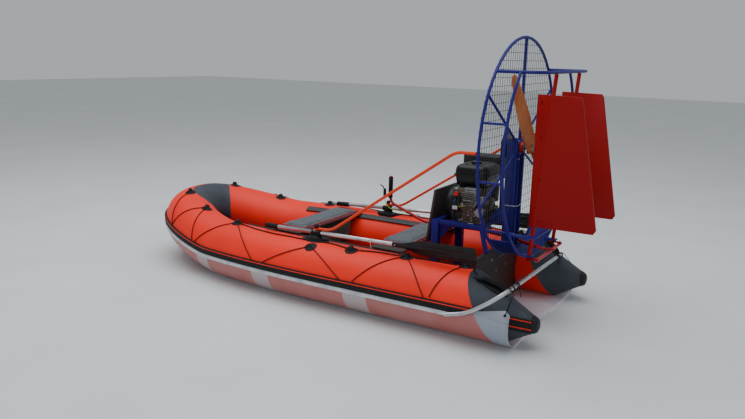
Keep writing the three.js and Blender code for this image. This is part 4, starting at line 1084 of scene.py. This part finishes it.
# %% [markdown]
# A thin lacing cord zigzags from the eyes down to the rub rail, and a thicker
# lifeline runs along the crest through the eyes to the cone's handle. The real ropes
# show from end to end on the near side, so their lengths are read from there.

# %% Lacing and lifelines
LACING = [  # which eye, which foot
    (0, 0), (1, 0), (1, 1), (2, 1), (2, 2), (3, 3), (3, 4), (5, 5), (5, 6), (6, 7),
]
LIFELINE = [placed(*p) for p in (
    (0.580, 0.502, 0.422), (0.469, 0.532, 0.422), (0.358, 0.550, 0.421), (0.251, 0.560, 0.420),
    (0.137, 0.560, 0.421), (-0.051, 0.565, 0.420), (-0.204, 0.550, 0.422), (-0.330, 0.570, 0.420),
    (-0.600, 0.550, 0.422), (-1.000, 0.515, 0.421))]
LACE, LIFELINE_WIDE, LINE_LIFT = 0.0061, 0.008, 0.0048


def lace(start, end, sign):
    """A nearly straight run on the tube that comes down from the eye where it starts."""
    (d0, a0), (d1, a1) = start, end
    points = []
    for step in range(25):
        share = step / 24
        slack = 0.010 * math.sin(math.pi * share) * (1 if d1 > d0 else -1)
        lift = LACE / 2 + 0.0006 + 0.016 * max(0, 1 - share * 8)
        points.append(on_tube(d0 + (d1 - d0) * share + slack, a0 + (a1 - a0) * share, lift, sign))
    return points


def lifeline(eyes, sign):
    """Along the crest and over four eyes to the cone's handle."""
    shift = eyes[2][0] - EYES[2][0]
    sag = [(d + shift, a) for d, a in LIFELINE]
    stops = [eyes[2], *sag[:8], eyes[4], sag[8], eyes[5], sag[9], eyes[6]]
    points = []
    for spot in smooth([(d, a, 0) for d, a in stops], 6):
        close = min(abs(spot.x - eyes[k][0]) for k in (2, 4, 5, 6))
        lift = LINE_LIFT + 0.018 * max(0.0, 1 - close / 0.06)
        if sign < 0:
            lift += 0.020 * max(0.0, 1 - abs(spot.x - 1.95) / 0.3)
        points.append(on_tube(spot.x, spot.y if sign > 0 else math.pi / 2, lift, sign))
    last = [points[-1], on_tube(0.350, math.radians(93), LINE_LIFT, sign),
            on_cone(0.02, math.radians(86), 0.012, sign), on_cone(0.10, math.radians(80), 0.010, sign)]
    return points + smooth(last, 5)[1:]


for side, sign in SIDES:
    eyes = eyes_on(sign)
    for i, (eye, foot) in enumerate(LACING):
        cord(f"lacing_{side}_{i}", lace(eyes[eye], FEET[foot], sign), LACE, cord_black)
    cord(f"lifeline_{side}", lifeline(eyes, sign), LIFELINE_WIDE, cord_black)
print("cords so far:", len(cord_lengths))

# %% [markdown]
# The cone has a carrying handle of rubber: a long glued pad with a grip that arches
# over it. The cone's skin is a blend of two rings, so a place on it is a share of the
# way to the tip and an angle.

# %% Cone handles and caps
HANDLE = ((0.06, math.radians(70)), (0.56, math.radians(89)))
CAP_WALL = 0.002


def handle(sign):
    """A long pad between two places on the cone, and a grip that arches over it."""
    (s0, a0), (s1, a1) = HANDLE
    rings = []
    for size, lift in ((1.0, 0.0003), (0.97, 0.006), (0.85, 0.0100), (0.4, 0.012), (0.02, 0.012)):
        ring = []
        for c, d in round_section(size, 40):
            share = (s0 + s1) / 2 + c * (s1 - s0) / 2
            angle = (a0 + a1) / 2 + c * (a1 - a0) / 2 + d * 0.23 * (1 + 0.9 * c / size)
            ring.append(on_cone(share, angle, lift, sign))
        rings.append(ring)
    arch = []
    for step in range(17):
        share = step / 16
        lift = 0.010 + 0.020 * min(1.0, math.sin(math.pi * share) * 1.6)
        arch.append(on_cone(s0 + 0.05 + (s1 - s0 - 0.10) * share, a0 + (a1 - a0) * share, lift, sign))
    return [closed_sweep(rings), tube_along(smooth(arch, 3), 0.0150, 14)]


def cone_cap(sign):
    """A cap over the last of the cone and round its tip."""
    rings = [[on_cone(share, math.atan2(d, c), CAP_WALL + 0.0002, sign) for c, d in round_section(1.0, 40)]
             for share in (0.945, 0.965, 1.0)]
    rings += [tip_ring(angle, CONE_TIP_R + CAP_WALL, CONE_ROUND + CAP_WALL, sign, 40)
              for angle in (18, 36, 54, 70, 82)]
    return closed_sweep(rings)


for side, sign in SIDES:
    finished(gathered(handle(sign)), f"cone_handle_{side}", "boat", black_rubber,
             slot="rail_rubber", crease=50)
    finished(cone_cap(sign), f"cone_cap_{side}", "boat", dark_fabric, slot="grey_fabric", crease=60)
print("cone handles and caps done")

# %% [markdown]
# The bent stern tube is tied to both cone handles with black cord: a few turns round
# the tube, and loose tails. The near lashing also holds the sheet's corner by a long
# loop through its eyelet.

# %% Lashings
def wraps(middle, along, radius, turns, width):
    """A helix round a straight piece of tube."""
    along = Vector(along).normalized()
    side = along.orthogonal().normalized()
    other = along.cross(side)
    steps = int(turns * 16)
    return [Vector(middle) + along * (width * (i / steps - 0.5))
            + (side * math.cos(i * math.tau / 16) + other * math.sin(i * math.tau / 16)) * radius
            for i in range(steps + 1)]


STERN_RUN = Vector((0.048, -1.016, -0.072))  # the stern tube from port to starboard
NEAR_START = Vector((-1.562, 0.586, 0.396))
WRAP_R = 0.0165
LASHINGS = [  # name, middle, turns, width
    ("near_0", NEAR_START + STERN_RUN * -0.100, 3.0, 0.018),
    ("near_1", NEAR_START + STERN_RUN * -0.005, 3.0, 0.018),
    ("far_0", (-1.5165, -0.390, 0.327), 4.0, 0.026),
    ("far_1", (-1.5120, -0.478, 0.3205), 3.0, 0.020),
]
for name, middle, turns, width in LASHINGS:
    turned = wraps(middle, STERN_RUN, WRAP_R, turns, width)
    cord(f"lashing_{name}", turned, 0.005, cord_black)
CORNER = Vector((-1.5640, 0.7660, 0.2620))
for i, share in enumerate((-0.100, -0.040)):
    start = NEAR_START + STERN_RUN * share + Vector((-0.012, 0, -0.010))
    points = [start.lerp(CORNER, k / 16) + Vector((0, 0, -0.006 * math.sin(math.pi * k / 16)))
              for k in range(17)]
    cord(f"corner_loop_{i}", points, 0.004, cord_black)
half_knot = Vector((0, 0.004, 0))
finished(rod(CORNER - half_knot, CORNER + half_knot, 0.008, 20), "corner_knot", "boat", black_rubber,
         slot="rail_rubber")
TAILS = [  # start, way down, end
    ((-1.5165, -0.390, 0.311), (-1.530, -0.395, 0.285), (-1.520, -0.425, 0.262)),
    ((-1.5165, -0.400, 0.343), (-1.540, -0.440, 0.350), (-1.560, -0.520, 0.290), (-1.575, -0.560, 0.245)),
    ((-1.5600, 0.580, 0.378), (-1.568, 0.540, 0.345), (-1.570, 0.520, 0.300)),
    ((-1.5600, 0.580, 0.413), (-1.562, 0.520, 0.430), (-1.560, 0.460, 0.405)),
]
for i, stops in enumerate(TAILS):
    cord(f"lashing_tail_{i}", smooth(stops, 10), 0.0045, cord_black)
print("lashings done")

# %% [markdown]
# The aluminium strip has a rivet about every 110 mm, and the transom is bolted to its
# knees. Hardware of one kind is gathered into one piece.

# %% Rivets and bolts on the hull
RIVET_STEP, RIVET_ANGLE = 0.112, math.radians(-6.2)
TRANSOM_BOLTS = ((0.024, 0.388), (0.169, 0.388), (0.090, 0.300))  # y, z


def rivets(sign):
    """Round heads along a strip, from the stern to the stem."""
    shapes = []
    distance = placed(-1.200, TUBE_Y + TUBE_R, TUBE_Z)[0]
    while distance < RUN[-1] - 0.02:
        inner, outer = (on_tube(distance, RIVET_ANGLE, lift, sign) for lift in (0.0070, 0.0100))
        shapes.append(rod(inner, outer, 0.0042, 12, 0.0030))
        distance += RIVET_STEP
    return shapes


def transom_bolts(sign):
    return [bolt((-1.2350, y * sign, z), (-1, 0, 0), 0.010) for y, z in TRANSOM_BOLTS]


finished(both_sides(rivets), "strip_rivets", "boat", steel, slot="steel")
finished(both_sides(transom_bolts), "transom_bolts", "boat", steel, slot="steel")
print("rivets and transom bolts done")

# %% [markdown]
# An oar is an aluminium tube with a rubber grip and a moulded blade. The blade has a
# round throat that fades into a spine, two stiffening ribs, a rounded end and thin
# edges. One sweep of closed sections gives all of that.

# %% Shape of an oar blade
PIN = Vector((-0.066, 0.500, 0.470))
OAR_RUN = Vector((-0.882, 0.050, 0.034)).normalized()
OAR_UP = Vector((0, 0.25, 1.0))
OAR_UP = (OAR_UP - OAR_RUN * OAR_UP.dot(OAR_RUN)).normalized()
OAR_FACE = OAR_RUN.cross(OAR_UP)
BLADE_ROOT, BLADE_FULL, BLADE_END, SHAFT_R = 0.630, 0.870, 1.228, 0.0175


def on_oar(along, up=0.0, face=0.0, sign=1):
    return on_side(PIN + OAR_RUN * along + OAR_UP * up + OAR_FACE * face, sign)


def limited(value):
    return max(0.0, min(1.0, value))


def blade_section(along):
    """Half width and spine height of the blade."""
    widen = limited((along - BLADE_ROOT - 0.05) / (BLADE_FULL - BLADE_ROOT - 0.05))
    half = SHAFT_R + (0.0530 - SHAFT_R) * widen * widen * (3 - 2 * widen)
    half += 0.005 * max(0, along - BLADE_FULL) / (BLADE_END - BLADE_FULL)
    corner = limited((along - (BLADE_END - 0.022)) / 0.022)
    half *= 1 - 0.30 * (1 - math.sqrt(1 - corner * corner))
    spine = 0.0150 * (1 - limited((along - BLADE_ROOT) / (BLADE_END - 0.10 - BLADE_ROOT)) ** 1.5)
    return half, spine


def oar_blade(sign):
    """Closed sections from the throat to the rounded end, with a spine and two ribs."""
    steps = [BLADE_ROOT, 0.633] + [0.645 + 0.025 * i for i in range(23)]
    steps += [1.206, 1.213, 1.219, 1.224, 1.227, BLADE_END]
    rings = []
    for along in steps:
        half, spine = blade_section(along)
        ring = []
        for c, d in round_section(1.0, 64):
            up = half * c
            rib = 0.0034 * math.exp(-((abs(up) - half * 0.48) / 0.0045) ** 2) * limited((along - 0.74) / 0.10)
            core = max(0.0, 1 - (up / SHAFT_R) ** 2) ** 0.5 * spine
            thick = max(0.0018 + 0.0012 * (1 - c * c), core) + rib
            face = math.copysign(thick * min(1.0, abs(d) * 2.6), d if d > 0 else -1)
            ring.append(on_oar(along, up, face, sign))
        rings.append(ring)
    return closed_sweep(rings)


print("oar blade:", round(BLADE_END - BLADE_ROOT, 3), "m long")

# %% [markdown]
# Each oar turns on a pin that leans outboard. The blade, the collar round the shaft and
# a rivet ride on the oar. The pin's knob and the patch under it stay with the boat.

# %% Oars on their locks
LEAN = math.radians(10)
for side, sign in SIDES:
    finished(oar_blade(sign), f"moulded_blade_{side}", f"oar_{side}", black_plastic, crease=50,
             stands_for=(f"oar_blade_{side}",), slot="black_plastic")
    pin_up = Vector((0, math.sin(LEAN) * sign, math.cos(LEAN)))
    centre = on_side(PIN, sign)
    shapes = [rod(centre - pin_up * 0.0200, centre + pin_up * 0.0195, 0.0285, 32),
              rod(on_oar(-0.040, sign=sign), on_oar(0.040, sign=sign), 0.0215, 28)]
    for shape in shapes:
        soften(shape, 0.0022)
    finished(gathered(shapes), f"oar_collar_{side}", f"oar_{side}", black_rubber, slot="black_plastic")
    rivet = rod(on_oar(0.652, 0.004, 0.012, sign), on_oar(0.652, 0.004, 0.0185, sign), 0.0030, 12)
    finished(rivet, f"throat_rivet_{side}", f"oar_{side}", tie_white, slot="black_plastic")
for side, sign in SIDES:
    bm = bmesh.new()
    bmesh.ops.create_uvsphere(bm, u_segments=24, v_segments=14, radius=0.0170)
    top = PIN + Vector((0, math.sin(LEAN), math.cos(LEAN))) * 0.048
    bmesh.ops.translate(bm, verts=bm.verts, vec=on_side(top, sign))
    finished(bm, f"oarlock_knob_{side}", "boat", black_rubber, slot="black_plastic", crease=60)
    skirt = [patch(placed(-0.070, 0.522, 0.422), 0.110, 0.058, 0.0, sign)]
    foot = Vector((PIN.x, 0.508 * sign, 0.428))
    skirt.append(rod(foot, foot + Vector((0, 0, 0.026)), 0.048, 28, 0.028))
    soften(skirt[-1], 0.004)
    finished(gathered(skirt), f"oarlock_patch_{side}", "boat", black_rubber, slot="rail_rubber", crease=50)
cord("oar_string", smooth([(-0.532, 0.512, 0.498), (-0.530, 0.545, 0.500), (-0.536, 0.556, 0.470),
                           (-0.542, 0.548, 0.440)], 8), 0.0025, tie_white)
print("oars done")

# %% [markdown]
# The engine is a small single-cylinder one. From the port side the real one shows a
# fan shroud, a finned cylinder, a crankcase with a bolted cover, and a control box
# with a red knob and thin wires. The fins and covers are cast, so they share a sandy
# finish, and the crankcase is brown with oil.

# %% Engine castings
fins = [block((-1.122, 0.090, 0.742 + 0.0115 * i), (-1.012, 0.200, 0.7455 + 0.0115 * i), 0.0012)
        for i in range(8)]
fins += [block((-1.110, 0.100, 0.735), (-1.030, 0.188, 0.842), 0.004),
         block((-1.158, 0.104, 0.742), (-1.126, 0.172, 0.806), 0.005, 3),
         block((-1.128, 0.150, 0.846), (-1.030, 0.196, 0.858), 0.003),
         rod((-1.140, 0.150, 0.700), (-1.140, 0.192, 0.700), 0.030, 28),
         rod((-1.142, 0.176, 0.806), (-1.104, 0.208, 0.736), 0.0042, 10),
         rod((-1.150, 0.178, 0.770), (-1.030, 0.206, 0.775), 0.0038, 10),
         rod((-1.020, 0.150, 0.745), (-1.020, 0.200, 0.745), 0.012, 20)]
finished(gathered(fins), "cylinder_fins", "boat", casting, slot="casting")

cover = [block((-1.158, 0.118, 0.628), (-1.008, 0.176, 0.736), 0.010, 4),
         block((-1.166, 0.100, 0.6215), (-0.990, 0.190, 0.6330), 0.003)]
disc = rod((-1.085, 0.170, 0.688), (-1.085, 0.186, 0.688), 0.036, 36)
soften(disc, 0.004)
cover.append(disc)
for i in range(6):
    spoke = block((-1.0875, 0.174, 0.6500), (-1.0825, 0.180, 0.7260), 0.001)
    bmesh.ops.rotate(spoke, verts=spoke.verts, cent=(-1.085, 0.177, 0.688),
                     matrix=Matrix.Rotation(math.tau * i / 6, 3, "Y"))
    cover.append(spoke)
finished(gathered(cover), "crankcase_cover", "boat", oily_casting, slot="casting")

shroud = [block((-1.006, 0.096, 0.780), (-0.934, 0.158, 0.842), 0.012, 4)]
for i in range(7):
    shroud.append(block((-1.000 + 0.010 * i, 0.150, 0.786), (-0.9965 + 0.010 * i, 0.1625, 0.836), 0.0012))
bell = rod((-0.934, 0.0, 0.700), (-0.905, 0.0, 0.700), 0.150, 48, 0.132)
soften(bell, 0.008, segments=4)
shroud.append(bell)
finished(gathered(shroud), "fan_shroud", "boat", casting, slot="casting")

bolts = [bolt((x, 0.176, z), (0, 1, 0), 0.0055) for x in (-1.150, -1.083, -1.016) for z in (0.640, 0.726)]
bolts += [bolt((x, 0.180, 0.633), (0, 0, 1), 0.0065) for x in (-1.156, -1.000)]
bolts += [bolt((-1.085 + 0.028 * math.cos(a), 0.186, 0.688 + 0.028 * math.sin(a)), (0, 1, 0), 0.0035)
          for a in (0.5, 1.55, 2.6, 3.65, 4.7, 5.75)]
finished(gathered(bolts), "engine_bolts", "boat", steel, slot="steel")
print("engine castings done")

# %% [markdown]
# The control box is bare of writing. It has a lid, a blank plate and a red knob, and
# thin wires and a hose bow out from it and from the tank before they go behind.

# %% Control box, knob and wires
box_shapes = [block((-1.006, 0.150, 0.690), (-0.940, 0.205, 0.800), 0.005, 3),
              block((-0.998, 0.204, 0.700), (-0.948, 0.209, 0.745), 0.0015)]
finished(gathered(box_shapes), "control_box", "boat", black_plastic, slot="black_plastic")
plate = block((-0.992, 0.2085, 0.706), (-0.956, 0.2100, 0.732), 0.0008)
finished(plate, "blank_plate", "boat", aluminium, slot="steel")
knob = rod((-0.979, 0.198, 0.812), (-0.979, 0.214, 0.812), 0.0150, 24)
soften(knob, 0.003)
finished(knob, "red_knob", "boat", knob_red, slot="red_paint")
WIRES = [  # name, diameter, finish, points
    ("blue_wire", 0.0032, wire_blue, [
        (-0.975, 0.206, 0.778), (-0.972, 0.216, 0.765), (-0.970, 0.214, 0.752), (-0.972, 0.206, 0.742)]),
    ("yellow_wire", 0.0032, wire_yellow, [
        (-0.998, 0.204, 0.735), (-1.010, 0.216, 0.730), (-1.030, 0.212, 0.735), (-1.050, 0.190, 0.738)]),
    ("spark_lead", 0.0065, black_rubber, [
        (-1.020, 0.196, 0.790), (-1.000, 0.222, 0.800), (-0.986, 0.218, 0.790), (-0.982, 0.204, 0.775)]),
    ("fuel_hose", 0.0080, black_rubber, [
        (-1.120, 0.110, 0.850), (-1.135, 0.150, 0.835), (-1.138, 0.160, 0.790), (-1.125, 0.150, 0.745),
        (-1.115, 0.140, 0.730)]),
]
for name, diameter, finish, stops in WIRES:
    cord(name, smooth(stops, 8), diameter, finish)
print("control box and wires done")

# %% [markdown]
# The fuel tank is two pressed shells welded at a flange. Its sections are rounded
# rectangles that pull in towards the top and bottom. The cap is turned, with grips
# round its rim.

# %% Fuel tank
def squared(value, half, power):
    """One coordinate of a rounded rectangle, from the same one of a unit circle."""
    return half * math.copysign(abs(value) ** (2 / power), value)


def tank_ring(z, inset):
    """One rounded-rectangle section of the tank."""
    x0, x1, y0, y1 = TANK_BOX
    half_x, half_y = (x1 - x0) / 2 - inset, (y1 - y0) / 2 - inset
    return [Vector(((x0 + x1) / 2 + squared(c, half_x, TANK_POWER),
                    (y0 + y1) / 2 + squared(d, half_y, TANK_POWER), z)) for c, d in round_section(1.0, 72)]


TANK_BOX, TANK_POWER = (-1.158, -0.912, -0.166, 0.148), 6.5
TANK_PROFILE = [  # height, how far inside the box
    (0.845, 0.060), (0.846, 0.044), (0.852, 0.028), (0.866, 0.018), (0.895, 0.012), (0.9235, 0.009),
    (0.9240, 0.001), (0.9255, 0.000), (0.9305, 0.000), (0.9320, 0.001), (0.9325, 0.007), (0.955, 0.008),
    (0.974, 0.011), (0.986, 0.018), (0.9935, 0.030), (0.9970, 0.046), (0.998, 0.075),
]
bm = closed_sweep([tank_ring(z, inset) for z, inset in TANK_PROFILE])
for x in (-1.000, -1.080):
    into(bm, block((x - 0.012, -0.060, 0.8353), (x + 0.012, 0.050, 0.850), 0.002))
for x in (-1.085, -0.985):
    into(bm, block((x - 0.010, -0.110, 0.990), (x + 0.010, 0.092, 1.0015), 0.005, 3))
finished(bm, "pressed_tank", "boat", tank_paint, stands_for=("fuel_tank",), slot="tank_paint", crease=40)
cap = rod((-1.035, 0.020, 0.990), (-1.035, 0.020, 1.013), 0.034, 40)
soften(cap, 0.004, segments=3)
for i in range(20):
    angle = math.tau * i / 20
    rim = Vector((-1.035 + 0.0338 * math.cos(angle), 0.020 + 0.0338 * math.sin(angle), 0))
    into(cap, rod(rim + Vector((0, 0, 0.997)), rim + Vector((0, 0, 1.010)), 0.0022, 8))
finished(cap, "fuel_cap", "boat", black_plastic, slot="black_plastic")
print("tank done")

# %% [markdown]
# White cable ties go round the mast, and bolts hold the bearing housing, the mast's
# foot, the propeller's front plate and the rudders' stocks.

# %% Mast, cage and rudder hardware
def bolt_circle(x, radius, count, first, size):
    """Bolts round the propeller's axis on a face that looks aft."""
    angles = [first + math.tau * i / count for i in range(count)]
    return [bolt((x, radius * math.cos(a), PROP_Z + radius * math.sin(a)), (-1, 0, 0), size) for a in angles]


TIE_R = 0.0018
TIES = [[(-1.3335, 0.0725, 0.752), (-1.2950, 0.0735, 0.750), (-1.2560, 0.0725, 0.752)],
        [(-1.3330, 0.0725, 0.752), (-1.3345, 0.0, 0.740), (-1.3330, -0.0725, 0.748)]]
ties = [tube_along(stops, TIE_R, 8) for stops in TIES]
finished(gathered(ties), "cable_ties", "boat", tie_white, slot="tube_fabric")
bolts = [bolt((-1.331, y, z), (-1, 0, 0), 0.007) for y in (-0.050, 0.050) for z in (0.480, 0.560, 1.060)]
bolts += bolt_circle(-1.350, 0.024, 4, math.pi / 4, 0.0040)
finished(gathered(bolts), "mast_bolts", "boat", steel, slot="steel")
RUDDER_SPOTS = [(-1.560, 0.720), (-1.545, 0.980), (-1.535, 1.240), (-1.525, 1.450), (-1.640, 0.712)]
plate_bolts = bolt_circle(-1.432, 0.022, 6, 0.0, 0.0055)
finished(gathered(plate_bolts), "propeller_bolts", "propeller", steel, slot="steel")
for side, sign in SIDES:
    heads = [bolt((x, sign * (0.250 + out * 0.0125), z), (0, out, 0), 0.0048)
             for x, z in RUDDER_SPOTS for out in (1, -1)]
    finished(gathered(heads), f"rudder_bolts_{side}", f"rudder_{side}", red_paint, slot="red_paint")
print("hardware done")

# %% [markdown]
# The throttle cable leaves the hand lever's foot, hangs in a short bow and then
# follows the tiller tube, so it rides on the tiller.

# %% Tiller cable
CABLE = [(-0.1545, -0.290, 0.592), (-0.158, -0.290, 0.576), (-0.168, -0.288, 0.552),
         (-0.192, -0.286, 0.533), (-0.222, -0.283, 0.522), (-0.280, -0.279, 0.5165),
         (-0.335, -0.2755, 0.5125), (-0.375, -0.2745, 0.5030)]
cord("throttle_cable", smooth(CABLE, 5), 0.0045, cable_green,
     body="tiller")
tip = rod((-0.200, -0.300, 0.7715), (-0.200, -0.300, 0.7790), 0.0125, 24)
soften(tip, 0.002)
finished(tip, "grip_tip", "tiller", knob_red, slot="red_paint")
print("tiller cable done")

# %% [markdown]
# The seats are foam pads in cloth covers. Each starts as a rounded slab, is remeshed
# to an even grid, and is blown up by a cloth simulation with its bottom held, so that
# it crowns and its sides pull in between the corners.

# %% Pads blown up as cloth
def slab(low, high, corner, edge):
    """A rounded slab with rounded plan corners."""
    bm = block(low, high, 0)
    upright = [e for e in bm.edges if abs(e.verts[0].co.z - e.verts[1].co.z) > 1e-6]
    bmesh.ops.bevel(bm, geom=upright, offset=corner, offset_type="OFFSET", segments=6, profile=0.5,
                    affect="EDGES", clamp_overlap=True, material=-1)
    soften(bm, edge, 60, 3)
    return bm


def puffed(piece, pressure, cap, held_below, grain=0.006):
    """Blow a closed piece up as cloth, and keep each point within a cap of its start."""
    remesh = piece.modifiers.new("even", "REMESH")
    remesh.mode, remesh.voxel_size, remesh.adaptivity = "VOXEL", grain, 0.0
    settle(piece)
    start = [v.co.copy() for v in piece.data.vertices]
    held = piece.vertex_groups.new(name="held")
    held.add([v.index for v in piece.data.vertices if v.co.z < held_below], 1.0, "REPLACE")
    cloth = piece.modifiers.new("cloth", "CLOTH")
    cloth.settings.use_pressure = True
    cloth.settings.uniform_pressure_force = pressure
    cloth.settings.quality = 5
    cloth.settings.effector_weights.gravity = 0.0
    cloth.settings.vertex_group_mass = "held"
    for number in range(1, 21):
        scene.frame_set(number)
    settle(piece)
    for vert, was in zip(piece.data.vertices, start):
        move = vert.co - was
        if move.length > cap:
            vert.co = was + move.normalized() * cap
    piece.vertex_groups.clear()
    relax = piece.modifiers.new("relax", "SMOOTH")
    relax.factor, relax.iterations = 0.5, 4
    finer = piece.modifiers.new("finer", "SUBSURF")
    finer.levels = finer.render_levels = 1
    settle(piece)


def settle(piece):
    """Apply every modifier on a piece."""
    reach = bpy.context.evaluated_depsgraph_get()
    mesh = bpy.data.meshes.new_from_object(piece.evaluated_get(reach))
    piece.modifiers.clear()
    piece.data = mesh


print("pads ready")

# %% [markdown]
# Piping is laid on a finished pad's edges, where rays from outside meet it. The rays
# start from a rounded rectangle round the pad and aim at its inside.

# %% Piping
PIPING_POWER, PIPING_REACH = 12, 0.2


def piping(piece, z, radius):
    """A bead round a pad where level rays from outside meet it."""
    bm = bmesh.new()
    bm.from_mesh(piece.data)
    tree = BVHTree.FromBMesh(bm)
    bm.free()
    spread = [[v.co[i] for v in piece.data.vertices] for i in range(3)]
    low, high = Vector([min(values) for values in spread]), Vector([max(values) for values in spread])
    half, middle = (high - low) / 2, (high + low) / 2
    spots = []
    for c, d in round_section(1.0, 120):
        edge = Vector((squared(c, half.x, PIPING_POWER), squared(d, half.y, PIPING_POWER), 0))
        inner = Vector((edge.x * 0.80, edge.y * 0.90, 0))
        start = Vector((middle.x, middle.y, z)) + edge * 1.2
        hit = tree.ray_cast(start, (inner - edge * 1.2).normalized(), PIPING_REACH)[0]
        if hit is not None:
            spots.append(hit)
    rings = []
    for i, point in enumerate(spots):
        run = (spots[(i + 1) % len(spots)] - spots[i - 1]).normalized()
        side = Vector((0, 0, 1)).cross(run).normalized()
        rings.append(circle(point, side, run.cross(side), radius, 10))
    bm = sweep([*rings, rings[0]])
    bmesh.ops.remove_doubles(bm, verts=bm.verts, dist=1e-6)
    bmesh.ops.recalc_face_normals(bm, faces=bm.faces)
    return bm


print("piping ready")

# %% [markdown]
# The covers are a dull woven cloth: fine waves make the weave, one noise fades it and
# another creases it. Each seat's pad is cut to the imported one's box, with red piping
# above and below.

# %% Cushions
SEAT_WEAVE = 1900.0


def seat_fabric(name, code, pale_code):
    recipe = Recipe(name, roughness=0.85, specular=0.2, sheen_weight=0.15)
    x, y, z = (recipe.axis(a) for a in "xyz")
    weave = (x * SEAT_WEAVE).sine() * ((y + z * 0.7) * SEAT_WEAVE).sine()
    cloud = recipe.noise(12.0, 5.0, 0.65)
    creases = recipe.noise(26.0, 3.0, 0.5, (1, 0.5, 1))
    worn = cloud.between(0.4, 0.75) * 0.7 + weave * 0.08
    recipe.fill(base_color=recipe.mix(worn, tone(code), tone(pale_code)))
    recipe.fill(roughness=0.78 + cloud * 0.15)
    recipe.bump(weave * 0.20 + creases * 3.0, 0.0010, 0.6)
    return recipe.material


seat_cloth = seat_fabric("seat_cloth", "4C5359", "646B71")
bag_cloth = seat_fabric("bag_cloth", "3A3634", "57524E")
piping_red = moulded("piping_red", "BC141C", "C03A3C", 0.6)

for name in ("front", "rear"):
    low, high = (Vector(c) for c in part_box(f"seat_cushion_{name}"))
    inset = Vector((0.006, 0.006, 0.0))
    bm = slab(low + inset, high - inset + Vector((0, 0, 0.003)), 0.045, 0.006)
    cushion = finished(bm, f"cushion_{name}", "boat", seat_cloth, crease=180,
                       stands_for=(f"seat_cushion_{name}",), slot="seat_fabric")
    puffed(cushion, 4.0, 0.010, low.z + 0.003)
    beads = gathered([piping(cushion, high.z - 0.003, 0.0028), piping(cushion, low.z + 0.005, 0.0024)])
    finished(beads, f"cushion_piping_{name}", "boat", piping_red, slot="seat_fabric", crease=70)
    print("cushion", name, [round(v, 3) for v in cushion.dimensions])

# %% [markdown]
# A soft bag is stowed under the front seat. It is blown up a little like the pads, and
# two crossed waves then sink folds into its lower part.

# %% Bag under the front seat
low, high = (Vector(c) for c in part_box("seat_bag"))
bm = slab(low + Vector((0.006, 0.006, 0.004)), high - Vector((0.006, 0.006, 0.0)), 0.050, 0.020)
for vert in bm.verts:
    share = (high.z - vert.co.z) / (high.z - low.z)
    vert.co.y *= 1.11 - 0.13 * share
bag = finished(bm, "under_seat_bag", "boat", bag_cloth, crease=180,
               stands_for=("seat_bag",), slot="seat_fabric")
puffed(bag, 1.2, 0.010, low.z - 1, 0.008)
folds = bmesh.new()
folds.from_mesh(bag.data)
for vert in folds.verts:
    p = vert.co
    ripple = math.sin(p.y * 62 + math.sin(p.z * 31) * 1.4) * math.sin(p.z * 24 + p.y * 7)
    depth = limited((high.z - p.z) / 0.18) * (0.5 + 0.5 * ripple)
    outward = Vector((p.x - (low.x + high.x) / 2, (p.y - (low.y + high.y) / 2) * 0.35, 0)).normalized()
    vert.co = p - outward * 0.007 * depth - Vector((0, 0, 0.010 * depth))
folds.to_mesh(bag.data)
folds.free()
bag.data.update()
print("bag", [round(v, 3) for v in bag.dimensions])

# %% [markdown]
# The boat stands on a plain pale floor that runs out to the background. It is stage,
# not a part.

# %% Floor
pale = Recipe("pale_floor", roughness=0.85)
pale.fill(base_color=pale.mix(pale.noise(1.2, 4.0).between(0.3, 0.7), tone("D6DADB"), tone("DEE1E2")))
bm = bmesh.new()
bmesh.ops.create_grid(bm, x_segments=4, y_segments=4, size=30.0)
bmesh.ops.translate(bm, verts=bm.verts, vec=(0, 0, -0.0005))
floor_mesh = bpy.data.meshes.new("studio_floor")
bm.to_mesh(floor_mesh)
bm.free()
floor_mesh.materials.append(pale.material)
floor = bpy.data.objects.new("studio_floor", floor_mesh)
scene.collection.objects.link(floor)
print("floor laid")

# %% [markdown]
# Last comes the list of imported pieces that nothing stands for, which has to be
# empty.

# %% The last line
print("plain nodes still shown:", [name for name, piece in frame["nodes"].items() if not piece.hide_render])
